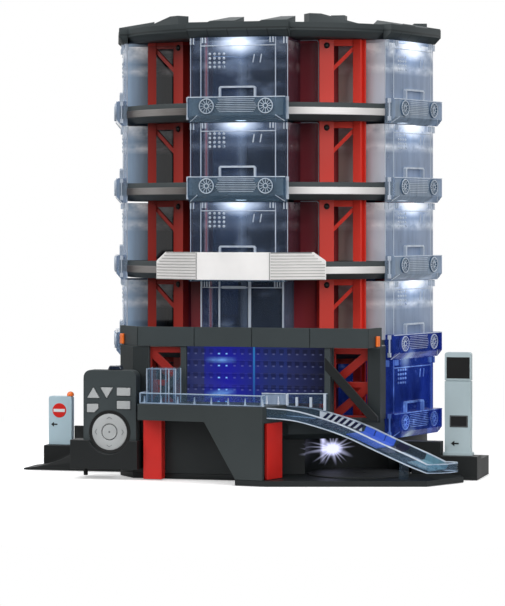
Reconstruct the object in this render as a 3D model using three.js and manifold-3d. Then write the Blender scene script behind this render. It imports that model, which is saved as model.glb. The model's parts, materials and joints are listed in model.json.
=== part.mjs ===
// Toy parking garage with a lift, in millimetres with +Z up.
// Five columns of clear display cases stand round an open lift shaft, on five dark floors held by
// red bay frames. In front are a dark portal with a balcony, a clear slope, a display turntable,
// two signs and a remote control in its dock.
// The front column faces -Y, and the origin lies on the lift's axis at the height of the ground.

import * as THREE from "three";
import { mergeVertices } from "three/addons/utils/BufferGeometryUtils.js";
import Module from "manifold-3d";

const wasm = await Module();
wasm.setup();

// Clearances
const gap = 0.3;
const runningGap = 0.4;
const overrun = 2;
const fuse = 0.6;

// Tower layout
const columnCount = 5;
const levelCount = 5;
const firstBoltHeight = 51.1;
const levelPitch = 75.2;
const shaftApothem = 95;
const shaftWall = 3;
const shaftOpeningHalf = 40.5;

// Floors, with heights from the bolt line
const floorRadius = 156.8;
const floorUnderside = 13;
const floorTop = 3.7;
const floorChamferStep = 6.8;
const floorChamferRadius = floorRadius - floorChamferStep;
const stripeRise = 1.2;
const stripeBottom = 7.8;
const stripeTop = 0.6;
const floorArcs = 30;
const padRise = 3.8;
const padInner = 99;
const padStep = 8.8;
const padOuter = floorRadius - padStep;
const noseHalf = 19;
const noseReach = 1.6;
const noseFront = floorRadius + noseReach;
const noseBottom = 7.5;
const noseTop = 3.4;
const firstFloorShaft = 92;
const recessStep = 7.1;
const recessFront = floorRadius - recessStep;

// Clear cases, with heights from the bolt line
const caseHalf = 47.3;
const caseBack = 98.8;
const caseWall = 1.8;
const flankStep = 5.8;
const flankFront = floorRadius - flankStep;
const windowStep = 2.8;
const windowFront = floorRadius - windowStep;
const windowCant = 10.9;
const windowHalf = caseHalf - windowCant;
const plateOverhang = 0.2;
const plateHalf = caseHalf + plateOverhang;
const plateReach = 4.2;
const plateFront = floorRadius + plateReach;
const plateLipStep = 6.6;
const plateLip = floorRadius - plateLipStep;
const recessGap = 0.6;
const recessHalf = caseHalf + recessGap;
const padMargin = 3.3;
const padHalf = caseHalf - padMargin;
const plateTop = 9;
const plateChin = 9;
const plateBottom = 15;
const plateChinDepth = 5.5;
const plateBottomFront = plateFront - plateChinDepth;
const plateWall = 2;
const plateChinWall = 0.6;
const columnLap = 1;
const medallionSpacing = 57.4;
const medallionRadius = 7.7;
const medallionRise = 1.6;
const handleHalf = 18;
const handleHeight = 10;
const handleBar = 1.8;
const handleDepth = 3.5;

// Recessed cover of the second front cell
const coverMargin = 6.3;
const coverHalf = caseHalf - coverMargin;
const coverSetback = 15.5;
const coverFront = windowFront - coverSetback;
const coverRibHalf = 1;
const coverRibRise = 1.4;
const coverRibSpacing = 30.5;

// Bay frames
const cornerPostHalf = 7.5;
const cornerPostStep = 31.3;
const cornerPostOuter = floorRadius - cornerPostStep;
const cornerPostDepth = 11.5;
const cornerPostInner = cornerPostOuter - cornerPostDepth;
const sidePostGap = 0.8;
const sidePostInner = recessHalf + sidePostGap;
const sidePostWidth = 11.3;
const sidePostOuter = sidePostInner + sidePostWidth;
const sidePostStep = 26.3;
const sidePostFront = floorRadius - sidePostStep;
const sidePostDepth = 8;
const sidePostBack = sidePostFront - sidePostDepth;
const sidePostWeb = 3;
const sidePostFlange = 2.6;
const beamHeight = 6;
const beamThickness = 4;
const braceDrop = 34;
const braceHeight = 5;
const braceThickness = 3;

// Roof
const roofUnderside = 417.5;
const roofLipRise = 6;
const roofLipHeight = roofUnderside + roofLipRise;
const roofPlateRise = 9.5;
const roofPlateTop = roofUnderside + roofPlateRise;
const roofRimRise = 4;
const roofRimTop = roofPlateTop + roofRimRise;
const roofBlockRise = 4.5;
const roofBlockTop = roofPlateTop + roofBlockRise;
const roofEavesRise = 0.6;
const roofEaves = roofBlockTop + roofEavesRise;
const roofCrestRise = 7;
const roofCrestTop = roofBlockTop + roofCrestRise;
const roofReach = 1.7;
const roofRadius = floorRadius + roofReach;
const roofFootStep = 6.5;
const roofFootRadius = roofRadius - roofFootStep;
const roofRimWidth = 8.5;
const roofBlockMargin = 2.2;
const roofBlockHalf = caseHalf + roofBlockMargin;
const roofBlockDepth = 54.5;
const roofBlockInner = roofRadius - roofBlockDepth;
const roofCrestDepth = 34.5;
const roofCrestInner = roofRadius - roofCrestDepth;
const crestWidth = 27.6;
const crestSlope = 13.6;
const crestOffset = 29.5;
const crestSpacing = 50.4;
const bayCrestStep = 11.5;
const bayCrestOuter = roofRadius - bayCrestStep;
const bayCrestDepth = 13;
const bayCrestInner = bayCrestOuter - bayCrestDepth;
const bayCrestRise = 13;
const bayCrestTop = roofPlateTop + bayCrestRise;
const bayCrestLow = roofRimTop;
const bayCrestHalf = 27;
const bayCrestFlat = 12;
const roofBoxX = 86;
const roofBoxY = 102;
const roofBoxHalf = 6.5;
const roofBoxRise = 12.5;
const roofBoxTop = roofPlateTop + roofBoxRise;
const roofSocketRadius = 11;
const roofSocketDrop = 4.5;

// Lift
const mastHalf = 38;
const mastWall = 3;
const mastBack = 16;
const mastReach = 10;
const mastFoot = 18.3;
const mastDiscRadius = 36;
const mastDiscHeight = 4;
const mastHeadroom = 9.5;
const mastTop = roofUnderside - mastHeadroom;
const mastTopDisc = 3;
const journalRadius = 6;
const journalBottom = 3.5;
const journalRise = 6.5;
const journalTop = roofUnderside + journalRise;
const trayRest = 73.5;
const trayHalf = 38.5;
const trayInner = 37;
const trayOuter = 73;
const trayPlate = 1.5;
const trayLip = 1.8;
const trayLipRise = 1.8;
const runnerHeight = 2.8;
const runnerX = 24;
const runnerHalf = 2;
const runnerStart = 2;
const armHalf = 4;
const armHeight = 7;
const armReach = 75;
const armGuide = 1.6;
const armGuideRise = 2.3;
const carriageHeight = 30;
const carriagePlate = 3;
const carriageShoe = 6;

// Turn drive in the base
const gearTeeth = 20;
const pinionTeeth = 8;
const toothModule = 4.6;
const gearBottom = 10;
const gearThickness = 8;
const gearHoleRadius = 34;
const gearHubRadius = 14;
const gearWindowShare = 0.6;
const tipShare = 0.9;
const rootShare = 1.15;
const tipHalfShare = 0.12;
const rootHalfShare = 0.34;
const pinionPinRadius = 3.2;

// Front of the portal, which what stands before it follows
const portalReach = 5.2;
const portalFront = floorRadius + portalReach;

// Base
const basePlate = 5;
const baseStep = 4.8;
const baseRadius = floorRadius - baseStep;
const pedestalStep = 2;
const pedestalRadius = baseRadius - pedestalStep;
const pedestalWall = 3;
const pedestalTop = 37.8;
const apronFront = portalFront + gap;
const apronNoseReach = 46.5;
const apronNose = portalFront + apronNoseReach;
const apronNoseX = 11.5;
const apronNoseEnd = 42;
const apronReach = 50;
const apronNoseFront = portalFront + apronReach;
const apronEndX = 185;
const apronEndReach = 14;
const apronEndY = portalFront + apronEndReach;
const apronTipX = 211;
const apronTipStep = 33;
const apronTipY = portalFront - apronTipStep;
const apronBackX = 204;
const bearingRadius = 11;
const bearingTop = 9.6;
const socketFloor = 3.2;
const pinionShoulder = 6;

// Display turntable
const turntableX = 110;
const turntableStep = 38;
const turntableY = portalFront - turntableStep;
const turntableRadius = 48.5;
const turntableRise = 1.2;
const turntableRecess = 3;
const turntablePinRadius = 5;
const turntablePinFoot = 0.6;
const turntableGripRadius = 44;
const turntableGrip = 0.7;
const bayWall = 2.4;
const bayClearance = 2.5;
const bayArcs = 24;

// Portal
const portalCentre = 15.5;
const portalWall = 4;
const portalTop = 125.2;
const portalLeft = -101;
const portalRight = 136;
const portalStep = 12;
const portalSetback = portalFront - portalStep;
const portalFacet = 20;
const portalReturn = 5;
const portalLintel = 60;
const portalBayLeft = 42;
const portalSill = 69.2;
const lobbyLeftHalf = 64;
const lobbyRightHalf = 70;
const postWidth = 5.5;
const leftOpeningEnd = -85;
const rightOpeningEnd = 124;
const strutHeight = 9;
const strutTop = 108;
const sideWallStep = 24;
const sideWallFront = portalFront - sideWallStep;
const sideWallDepth = 38;
const sideWallBack = sideWallFront - sideWallDepth;

// Collar over the portal
const collarTop = 143.7;
const collarReach = 1.5;
const collarFront = portalFront + collarReach;
const collarWall = 3.5;
const collarPanel = 55.9;
const collarPanels = 4;
const collarCentre = 15.7;
const collarSeam = 0.8;
const collarSeamDepth = 1;
const collarLeftEnd = 26;
const collarRightEnd = 7;
const collarEndDepth = 28;
const leftLampShare = 0.8;
const rightLampShare = 0.6;
const lampHalf = 3;
const lampFoot = 126.2;
const lampHeight = 10;
const lampDepth = 2.5;

// Lobby doors and red brace panels
const doorStep = 10.8;
const doorBack = portalFront - doorStep;
const doorThickness = 2.4;
const leftDoorWidth = 66.7;
const rightDoorWidth = 72.4;
const doorFrame = 2.2;
const doorSkin = 1.2;
const doorRows = 4;
const doorRib = 1.2;
const bracePanelThickness = 3.2;
const bracePanelTop = 124.5;
const bracePanelBar = 5.5;
const bracePanelMargin = 4;

// Balcony
const deckTop = 72.5;
const deckPlate = 3;
const deckFascia = 57.5;
const deckWall = 3;
const deckLeftX = -88;
const deckLeftFrontX = -86.5;
const deckLeftReach = 32.7;
const deckLeftFront = portalFront + deckLeftReach;
const deckCornerX = 38.4;
const deckCornerY = apronNoseFront;
const deckBackX = 55;
const legTopShare = 0.465;
const legFootShare = 0.215;
const legWall = 4;
const lobbyFloorHalf = 38;
const lobbyFloorLeft = -47;
const lobbyFloorRight = 54;
const lobbyFloorStep = 13;
const lobbyFloorSplit = portalFront - lobbyFloorStep;
const lobbyFloorInner = 99;
const railHeight = 10.5;
const railWall = 1.4;
const railInset = 1.4;
const railFin = 4.5;
const railFinPitch = 17;
const boothX = -65.5;
const boothReach = 17;
const boothY = portalFront + boothReach;
const boothHalf = 14.5;
const boothHalfDepth = 9;
const boothHeight = 33;
const boothWall = 1.6;
const boothDoor = 8;
const redLeftX = -78;
const redLeftHalf = 9;
const redLeftReach = 12.5;
const redLeftFront = portalFront + redLeftReach;
const redStripStart = 4.6;
const redStripWidth = 26;
const redStripWall = 3;
const redFoot = 0.4;

// Clear slope, with shares of its length, of its upper edge and of its underside
const slopeStart = 7;
const slopeTurn = 12;
const slopeLength = 165;
const slopeWidth = 31.5;
const slopeHigh = 71.8;
const slopeLow = 11.2;
const slopeWallHeight = 9.8;
const slopeWall = 1.8;
const slopeBed = 2.2;
const slopeRibRise = 0.9;
const slopeRibHalf = 0.9;
const slopeRibCount = 10;
const slopeLegAlong = 118;
const slopeLegHalf = 2;
const slopeLegInset = 12;
const slopeGuardLength = 37;
const slopeGuardLap = 1.2;
const slopeShares = [
  [0, 1, 1],
  [0.15, 0.96, 0.958],
  [0.32, 0.835, 0.824],
  [0.455, 0.7, 0.68],
  [0.62, 0.49, 0.455],
  [0.82, 0.245, 0.193],
  [1, 0, 0],
];

// Entry wing and the sign on it
const wingLeft = 141;
const wingRight = 220;
const wingStep = 55;
const wingFront = portalFront - wingStep;
const wingDepth = 67;
const wingBack = wingFront - wingDepth;
const wingShelf = 22;
const wingTall = 35.4;
const wingTallGap = 1;
const wingTallDepth = 15;
const wingTallBack = wingFront - wingTallDepth;
const wingWall = 3;
const wingLaneFloor = 18;
const wingLaneStep = 23;
const wingLaneFront = wingFront - wingLaneStep;
const inSignX = 200;
const inSignHalf = 12.5;
const inSignStep = 8.5;
const inSignFront = wingFront - inSignStep;
const inSignDepth = 8.5;
const inSignBack = inSignFront - inSignDepth;
const inSignTop = 119.6;
const inSignRound = 2.5;
const inSignPlinth = 1.5;
const inSignPlinthRise = 2.6;
const inSignGroove = 1;
const inSignGrooveShare = 0.72;

// Exit lane and its sign
const rampLeft = -230;
const rampCrest = -178.8;
const rampFront = wingFront;
const rampDepth = 37;
const rampBack = rampFront - rampDepth;
const rampHigh = 17;
const rampToe = 1.5;
const rampShares = [[0, 0], [0.25, 0.1], [0.5, 0.3], [0.75, 0.6], [1, 1]];
const laneWallLeft = -190;
const laneWallRight = -165;
const laneWallTop = 41;
const laneWallThickness = 3;
const outBlockLeft = -222;
const outBlockRight = -192;
const outBlockDepth = 20;
const outBlockBack = rampBack - outBlockDepth;
const outBlockTop = 21;
const outSignX = -207;
const outSignHalf = 12;
const outSignStep = 6;
const outSignFront = rampBack - outSignStep;
const outSignDepth = 8;
const outSignBack = outSignFront - outSignDepth;
const outSignTop = 69.5;
const outSignRound = 2;
const outLampX = -197.5;
const outLampRadius = 3.5;
const outLampHeight = 4.4;

// Remote control and its dock
const remoteX = -118.7;
const remoteHalf = 26;
const remoteReach = 17;
const remoteFront = portalFront + remoteReach;
const remoteDepth = 14.4;
const remoteBack = remoteFront - remoteDepth;
const remoteBottom = 18.1;
const remoteTop = 102.8;
const remoteRound = 7;
const pocketDepth = 4.1;
const buttonRise = 1.2;
const buttonLength = 4;
const ringHeight = 44.6;
const ringRadius = 17.1;
const ringInner = 7.8;
const centreRadius = 7.2;
const triangleHalf = 6.1;
const triangleHeight = 10.1;
const triangleBase = 76.4;
const upX = -134.7;
const downX = -121.5;
const keyX = -104.8;
const keyHalf = 6.6;
const keyHeight = 7.6;
const upperKey = 78.9;
const lowerKey = 66.4;
const cancelX = -135.4;
const cancelHalf = 5.6;
const cancelBottom = 62.8;
const cancelHeight = 8.1;
const cancelCut = 3.9;
const lensX = -114.9;
const lensHalf = 7;
const lensHeight = 4;
const lensInset = 3;
const lensSlope = 2;
const dockLeft = -156.9;
const dockRight = -90.4;
const dockReach = 4;
const dockFront = remoteFront + dockReach;
const dockBottom = 9.5;
const dockTop = 36.8;
const dockCutRadius = 20.9;
const dockFootX = -152;
const dockFootStep = 12;
const dockFootY = portalFront - dockFootStep;
const dockFootRadius = 2.2;
const dockFootPad = 0.4;
const dockTailRight = -124;
const dockTailDepth = 17;
const dockTailBack = portalFront - dockTailDepth;
const dockTailTop = 17;

// Sign board
const boardHalf = 35.4;
const boardReach = 16.2;
const boardFront = floorRadius + boardReach;
const boardWall = 3;
const boardWingX = 83;
const boardSweep = 28.5;
const boardWingY = boardFront - boardSweep;
const boardBottom = 188.5;
const boardTop = 214.4;
const boardChamferWidth = 11;
const boardChamferHeight = 10;
const boardBossRadius = 4;
const boardBossX = 28.7;

// Colours and finishes
const charcoal = new THREE.MeshStandardMaterial({ color: 0x33393a, roughness: 0.55, metalness: 0 });
const dark = new THREE.MeshStandardMaterial({ color: 0x1e2222, roughness: 0.6, metalness: 0 });
const red = new THREE.MeshStandardMaterial({ color: 0xb3281f, roughness: 0.45, metalness: 0 });
const brightRed = new THREE.MeshStandardMaterial({ color: 0xc8281e, roughness: 0.4, metalness: 0 });
const silver = new THREE.MeshStandardMaterial({ color: 0xe4e2e0, roughness: 0.3, metalness: 0.6 });
const grey = new THREE.MeshStandardMaterial({ color: 0xb9bdbf, roughness: 0.5, metalness: 0 });
const paleBlue = new THREE.MeshStandardMaterial({ color: 0xa9c1cb, roughness: 0.5, metalness: 0 });
const signGrey = new THREE.MeshStandardMaterial({ color: 0x9fb0b5, roughness: 0.5, metalness: 0 });
const amber = new THREE.MeshStandardMaterial({ color: 0xe8733a, roughness: 0.35, metalness: 0 });
const clear = clearPlastic(0xcfdce6, 0.35);
const navy = clearPlastic(0x1f2590, 0.7);
const smoke = clearPlastic(0x2a2a2e, 0.7);

function clearPlastic(color, opacity) {
  return new THREE.MeshStandardMaterial({ color, opacity, transparent: true, roughness: 0.1, metalness: 0 });
}

// Geometry helpers. Each returns a closed geometry in the frame of the piece.

function shapeOf(points) {
  return new THREE.Shape(points.map(([across, along]) => new THREE.Vector2(across, along)));
}

function extruded(shape, depth) {
  return new THREE.ExtrudeGeometry(shape, { depth, bevelEnabled: false, curveSegments: 6 });
}

// An upright prism over a plan outline of [x, y] points.
function prism(points, bottom, top) {
  return extruded(shapeOf(points), top - bottom).translate(0, 0, bottom);
}

// A prism along X from a side outline of [y, z] points.
function alongX(points, left, right) {
  const lie = new THREE.Matrix4().set(0, 0, 1, left, 1, 0, 0, 0, 0, 1, 0, 0, 0, 0, 0, 1);
  return extruded(shapeOf(points), right - left).applyMatrix4(lie);
}

// A prism along Y from a front outline of [x, z] points, or from a ready shape.
function alongY(outline, front, back) {
  const shape = Array.isArray(outline) ? shapeOf(outline) : outline;
  return extruded(shape, back - front).rotateX(Math.PI / 2).translate(0, back, 0);
}

function box(left, right, front, back, bottom, top) {
  const middle = [(left + right) / 2, (front + back) / 2, (bottom + top) / 2];
  return new THREE.BoxGeometry(right - left, back - front, top - bottom).translate(...middle);
}

// An upright cylinder on the Z axis.
function post(radius, bottom, top, sides) {
  const height = top - bottom;
  const shaft = new THREE.CylinderGeometry(radius, radius, height, sides);
  return shaft.rotateX(Math.PI / 2).translate(0, 0, bottom + height / 2);
}

// A cylinder that points to the front, from its back plane to its front plane.
function stud(radius, front, back, sides) {
  return new THREE.CylinderGeometry(radius, radius, back - front, sides).translate(0, (front + back) / 2, 0);
}

function turned(geometry, degrees) {
  return geometry.rotateZ(THREE.MathUtils.degToRad(degrees));
}

// The plan outline of a straight bar between two plan points.
function barOutline([x1, y1], [x2, y2], width) {
  const length = Math.hypot(x2 - x1, y2 - y1);
  const [sideX, sideY] = [((y1 - y2) / length) * (width / 2), ((x2 - x1) / length) * (width / 2)];
  return [
    [x1 - sideX, y1 - sideY],
    [x2 - sideX, y2 - sideY],
    [x2 + sideX, y2 + sideY],
    [x1 + sideX, y1 + sideY],
  ];
}

// The plan outline of a wall that follows a line of points, with its thickness on the left of the line.
function wallOutline(points, thickness) {
  const inner = points.map((point, index) => {
    const before = points[Math.max(index - 1, 0)];
    const after = points[Math.min(index + 1, points.length - 1)];
    const normals = [];
    if (index > 0) normals.push(leftNormal(before, point));
    if (index < points.length - 1) normals.push(leftNormal(point, after));
    const sum = normals.reduce(([x, y], [nx, ny]) => [x + nx, y + ny], [0, 0]);
    const scale = (thickness * normals.length) / (sum[0] ** 2 + sum[1] ** 2);
    return [point[0] + sum[0] * scale, point[1] + sum[1] * scale];
  });
  return [...points, ...inner.reverse()];
}

function leftNormal([x1, y1], [x2, y2]) {
  const length = Math.hypot(x2 - x1, y2 - y1);
  return [(y1 - y2) / length, (x2 - x1) / length];
}

// Solids. Manifold joins and cuts what the geometries give.

function solid(piece) {
  if (piece instanceof wasm.Manifold) return piece;
  const bare = new THREE.BufferGeometry();
  bare.setAttribute("position", (piece.index ? piece.toNonIndexed() : piece).getAttribute("position"));
  const welded = mergeVertices(bare);
  const vertProperties = new Float32Array(welded.getAttribute("position").array);
  const triVerts = new Uint32Array(welded.getIndex().array);
  return new wasm.Manifold(new wasm.Mesh({ numProp: 3, vertProperties, triVerts }));
}

function join(...pieces) {
  return pieces.map(solid).reduce((whole, piece) => whole.add(piece));
}

function cut(piece, ...tools) {
  return tools.map(solid).reduce((whole, tool) => whole.subtract(tool), solid(piece));
}

const garage = new THREE.Group();

// Adds one named piece, lifted by a height and turned about the lift's axis.
function add(name, piece, material, { lift = 0, turn = 0 } = {}) {
  const made = solid(piece).getMesh();
  const geometry = new THREE.BufferGeometry();
  geometry.setAttribute("position", new THREE.BufferAttribute(new Float32Array(made.vertProperties), 3));
  geometry.setIndex(new THREE.BufferAttribute(new Uint32Array(made.triVerts), 1));
  const mesh = new THREE.Mesh(geometry, material);
  mesh.name = name;
  mesh.position.z = lift;
  mesh.rotation.z = THREE.MathUtils.degToRad(turn);
  garage.add(mesh);
}

const columnTurn = 360 / columnCount;
const boltHeight = (level) => firstBoltHeight + (level - 1) * levelPitch;
const ceilingOf = (level) => (level === levelCount ? roofUnderside : boltHeight(level + 1) - floorUnderside);

// Bay frames: a folded wall at the shaft's corner, two channel posts, a beam and a brace a level.

function postSection() {
  return [
    [-cornerPostHalf, -cornerPostInner],
    [-cornerPostHalf, -cornerPostOuter],
    [cornerPostHalf, -cornerPostOuter],
    [cornerPostHalf, -cornerPostInner],
  ];
}

function sidePostSection() {
  return [
    [-sidePostOuter, -sidePostBack],
    [-sidePostOuter, -sidePostFront],
    [-sidePostOuter + sidePostFlange, -sidePostFront],
    [-sidePostOuter + sidePostFlange, -sidePostFront + sidePostWeb],
    [-sidePostInner - sidePostFlange, -sidePostFront + sidePostWeb],
    [-sidePostInner - sidePostFlange, -sidePostFront],
    [-sidePostInner, -sidePostFront],
    [-sidePostInner, -sidePostBack],
  ];
}

function foldedWall(bottom, top) {
  const half = THREE.MathUtils.degToRad(columnTurn / 2);
  const corner = shaftApothem / Math.cos(half);
  const side = shaftApothem * Math.tan(half) - shaftOpeningHalf;
  const end = [side * Math.cos(half), corner - side * Math.sin(half)];
  const line = [[-end[0], -end[1]], [0, -corner], [end[0], -end[1]]];
  return prism(wallOutline(line.reverse(), shaftWall), bottom, top);
}

function bayFrame() {
  const foot = boltHeight(1) + floorTop + gap;
  const head = roofUnderside - gap;
  const middle = (sidePostBack + sidePostFront) / 2;
  const reach = new THREE.Vector3(-(sidePostInner + sidePostOuter) / 2, -middle, 0);
  reach.applyAxisAngle(new THREE.Vector3(0, 0, 1), THREE.MathUtils.degToRad(columnTurn / 2));
  const inner = [0, -(cornerPostInner + cornerPostOuter) / 2];
  const outer = [reach.x, reach.y];
  const span = Math.hypot(outer[0] - inner[0], outer[1] - inner[1]);
  const turn = THREE.MathUtils.radToDeg(Math.atan2(outer[1] - inner[1], outer[0] - inner[0]));
  const pieces = [
    foldedWall(foot, head),
    prism(postSection(), foot, head),
    turned(prism(sidePostSection(), foot, head), columnTurn / 2),
  ];
  for (let level = 1; level <= levelCount; level++) {
    const top = ceilingOf(level) - gap;
    const low = top - braceDrop;
    pieces.push(prism(barOutline(inner, outer, beamThickness), top - beamHeight, top));
    const brace = [[0, low], [0, low - braceHeight], [span, top - braceHeight], [span, top]];
    const slant = alongY(brace, -braceThickness / 2, braceThickness / 2);
    pieces.push(turned(slant, turn).translate(inner[0], inner[1], 0));
  }
  return join(...pieces);
}

function mirrored(outline) {
  return outline.map(([x, y]) => [-x, y]).reverse();
}

const bays = [
  { name: "frame_bay_right", turn: columnTurn / 2, flip: false },
  { name: "frame_bay_rear_right", turn: columnTurn * 1.5, flip: false },
  { name: "frame_bay_rear", turn: columnTurn * 2.5, flip: true },
  { name: "frame_bay_rear_left", turn: columnTurn * 3.5, flip: true },
  { name: "frame_bay_left", turn: columnTurn * 4.5, flip: true },
];

// Mirrors a solid from left to right and keeps its faces outward.
function flipped(piece) {
  const { vertProperties, triVerts } = solid(piece).getMesh();
  const points = vertProperties.map((value, index) => (index % 3 === 0 ? -value : value));
  const faces = triVerts.map((value, index) => triVerts[index - (index % 3) + (2 - (index % 3))]);
  return new wasm.Manifold(new wasm.Mesh({ numProp: 3, vertProperties: points, triVerts: faces }));
}

const rightFrame = bayFrame();
const leftFrame = flipped(rightFrame);
for (const { name, turn, flip } of bays) {
  add(name, flip ? leftFrame : rightFrame, red, { turn });
}

// Floors

function slotTools(outline, bottom, top) {
  const xs = outline.map(([x]) => x);
  const ys = outline.map(([, y]) => y);
  const [left, right] = [Math.min(...xs) - gap, Math.max(...xs) + gap];
  const [front, back] = [Math.min(...ys) - gap, Math.max(...ys) + gap];
  return box(left, right, front, back, bottom, top);
}

function frameSlots(bottom, top) {
  return bays.flatMap(({ turn, flip }) => {
    const outline = flip ? mirrored(sidePostSection()) : sidePostSection();
    const side = flip ? -columnTurn / 2 : columnTurn / 2;
    return [
      turned(slotTools(postSection(), bottom, top), turn),
      turned(slotTools(outline, bottom, top), turn + side),
    ];
  });
}

function pentagon(apothem, bottom, top) {
  const radius = apothem / Math.cos(Math.PI / columnCount);
  const corners = Array.from({ length: columnCount }, (_, index) => {
    const angle = ((index + 0.5) * 2 * Math.PI) / columnCount - Math.PI / 2;
    return [radius * Math.cos(angle), radius * Math.sin(angle)];
  });
  return prism(corners, bottom, top);
}

function floorNose() {
  return box(-noseHalf, noseHalf, -noseFront, -recessFront + fuse, -noseBottom, noseTop);
}

function floorSolid(level) {
  const profile = [
    [0, -floorUnderside],
    [floorChamferRadius, -floorUnderside],
    [floorRadius + stripeRise, -stripeBottom],
    [floorRadius + stripeRise, -stripeTop],
    [floorRadius, floorTop],
    [0, floorTop],
  ];
  const disc = new THREE.LatheGeometry(profile.map(([r, z]) => new THREE.Vector2(r, z)), floorArcs);
  disc.rotateX(Math.PI / 2);
  const [low, high] = [-floorUnderside - overrun, floorTop + padRise + overrun];
  const tools = [pentagon(level === 1 ? firstFloorShaft : shaftApothem + shaftWall + gap, low, high)];
  const extras = [];
  for (let index = 0; index < columnCount; index++) {
    const recess = box(-recessHalf, recessHalf, -floorRadius - overrun, -recessFront, low, high);
    tools.push(turned(recess, index * columnTurn));
    const lobby = index === 0 && level <= 2;
    if (index === 0 && level === 1) continue;
    const pad = box(-padHalf, padHalf, -padOuter, -padInner, floorTop - fuse, floorTop + padRise);
    extras.push(turned(pad, index * columnTurn));
    if (!lobby) extras.push(turned(floorNose(), index * columnTurn));
  }
  if (level > 1) tools.push(...frameSlots(low, high));
  return join(cut(disc, ...tools), ...extras);
}

const floors = { 1: floorSolid(1), 2: floorSolid(2), 3: floorSolid(3) };
for (let level = 1; level <= levelCount; level++) {
  add(`floor_${level}`, floors[Math.min(level, 3)], charcoal, { lift: boltHeight(level) });
}

// Clear cases

function windowOutline() {
  const line = [
    [-caseHalf, -caseBack],
    [-caseHalf, -flankFront],
    [-windowHalf, -windowFront],
    [windowHalf, -windowFront],
    [caseHalf, -flankFront],
    [caseHalf, -caseBack],
  ];
  return wallOutline(line, caseWall);
}

function plateSkin() {
  const inner = -plateFront + plateWall;
  return alongX(
    [
      [-plateLip, plateTop],
      [-plateFront, plateTop],
      [-plateFront, -plateChin],
      [-plateBottomFront, -plateBottom],
      [-plateBottomFront + plateWall, -plateBottom],
      [inner, -plateChin + plateChinWall],
      [inner, plateTop - plateWall],
      [-plateLip, plateTop - plateWall],
    ],
    -plateHalf,
    plateHalf
  );
}

function plateEnds() {
  const outline = [
    [-plateLip, plateTop],
    [-plateFront, plateTop],
    [-plateFront, -plateChin],
    [-plateBottomFront, -plateBottom],
    [-plateLip, -plateBottom],
  ];
  return [
    alongX(outline, -plateHalf, -plateHalf + caseWall),
    alongX(outline, plateHalf - caseWall, plateHalf),
  ];
}

function plateTrim(sides) {
  const trim = [];
  for (const x of [-medallionSpacing / 2, medallionSpacing / 2]) {
    const disc = stud(medallionRadius, -plateFront - medallionRise, -plateFront + fuse, sides);
    trim.push(disc.translate(x, 0, 0));
  }
  return trim;
}

function handle() {
  const [foot, head] = [plateTop - fuse, plateTop + handleHeight];
  const inner = handleHalf - handleBar;
  const outline = [
    [-handleHalf, foot],
    [-inner, foot],
    [-inner, head - handleBar],
    [inner, head - handleBar],
    [inner, foot],
    [handleHalf, foot],
    [handleHalf, head],
    [-handleHalf, head],
  ];
  return alongY(outline, -windowFront - handleDepth, -windowFront + fuse);
}

function caseSolid(top, { trim = true, grip = true, sides = 10 } = {}) {
  const walls = prism(windowOutline(), floorTop + gap, top);
  const pieces = [walls, plateSkin(), ...plateEnds()];
  if (trim) pieces.push(...plateTrim(sides));
  if (grip) pieces.push(handle());
  return join(...pieces);
}

const caseTop = levelPitch - plateBottom - gap;
const topCaseTop = roofUnderside - gap - boltHeight(levelCount);
const plainCase = caseSolid(caseTop);
const boardCase = caseSolid(caseTop, { trim: false });
const topCase = caseSolid(topCaseTop);
for (let level = 1; level <= levelCount; level++) {
  const piece = level === levelCount ? topCase : plainCase;
  add(`case_right_${level}`, piece, clear, { lift: boltHeight(level), turn: columnTurn });
  if (level > 2) {
    add(`case_front_${level}`, level === 3 ? boardCase : piece, clear, { lift: boltHeight(level) });
  }
}

// A whole column in one piece: each window runs up into the plate above it.
function caseColumn(options) {
  const low = caseSolid(caseTop + gap + columnLap, options);
  const pieces = [];
  for (let level = 1; level < levelCount; level++) pieces.push(low.translate(0, 0, boltHeight(level)));
  pieces.push(caseSolid(topCaseTop, options).translate(0, 0, boltHeight(levelCount)));
  return join(...pieces);
}

const rearColumn = caseColumn({ trim: false, grip: false });
add("case_column_rear_right", rearColumn, clear, { turn: 2 * columnTurn });
add("case_column_rear_left", rearColumn, clear, { turn: 3 * columnTurn });
add("case_column_left", caseColumn({ sides: 8 }), clear, { turn: 4 * columnTurn });

function frontCover() {
  const foot = boltHeight(2) + floorTop + padRise + gap;
  const head = boltHeight(3) - floorUnderside - gap;
  const line = [
    [-coverHalf, -caseBack],
    [-coverHalf, -coverFront],
    [coverHalf, -coverFront],
    [coverHalf, -caseBack],
  ];
  const ribs = [-coverRibSpacing, 0, coverRibSpacing].map((x) => {
    const face = -coverFront - coverRibRise;
    return box(x - coverRibHalf, x + coverRibHalf, face, -coverFront + fuse, foot, head);
  });
  return join(prism(wallOutline(line, caseWall), foot, head), ...ribs);
}

add("front_cover_2", frontCover(), clear);

// Roof

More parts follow.
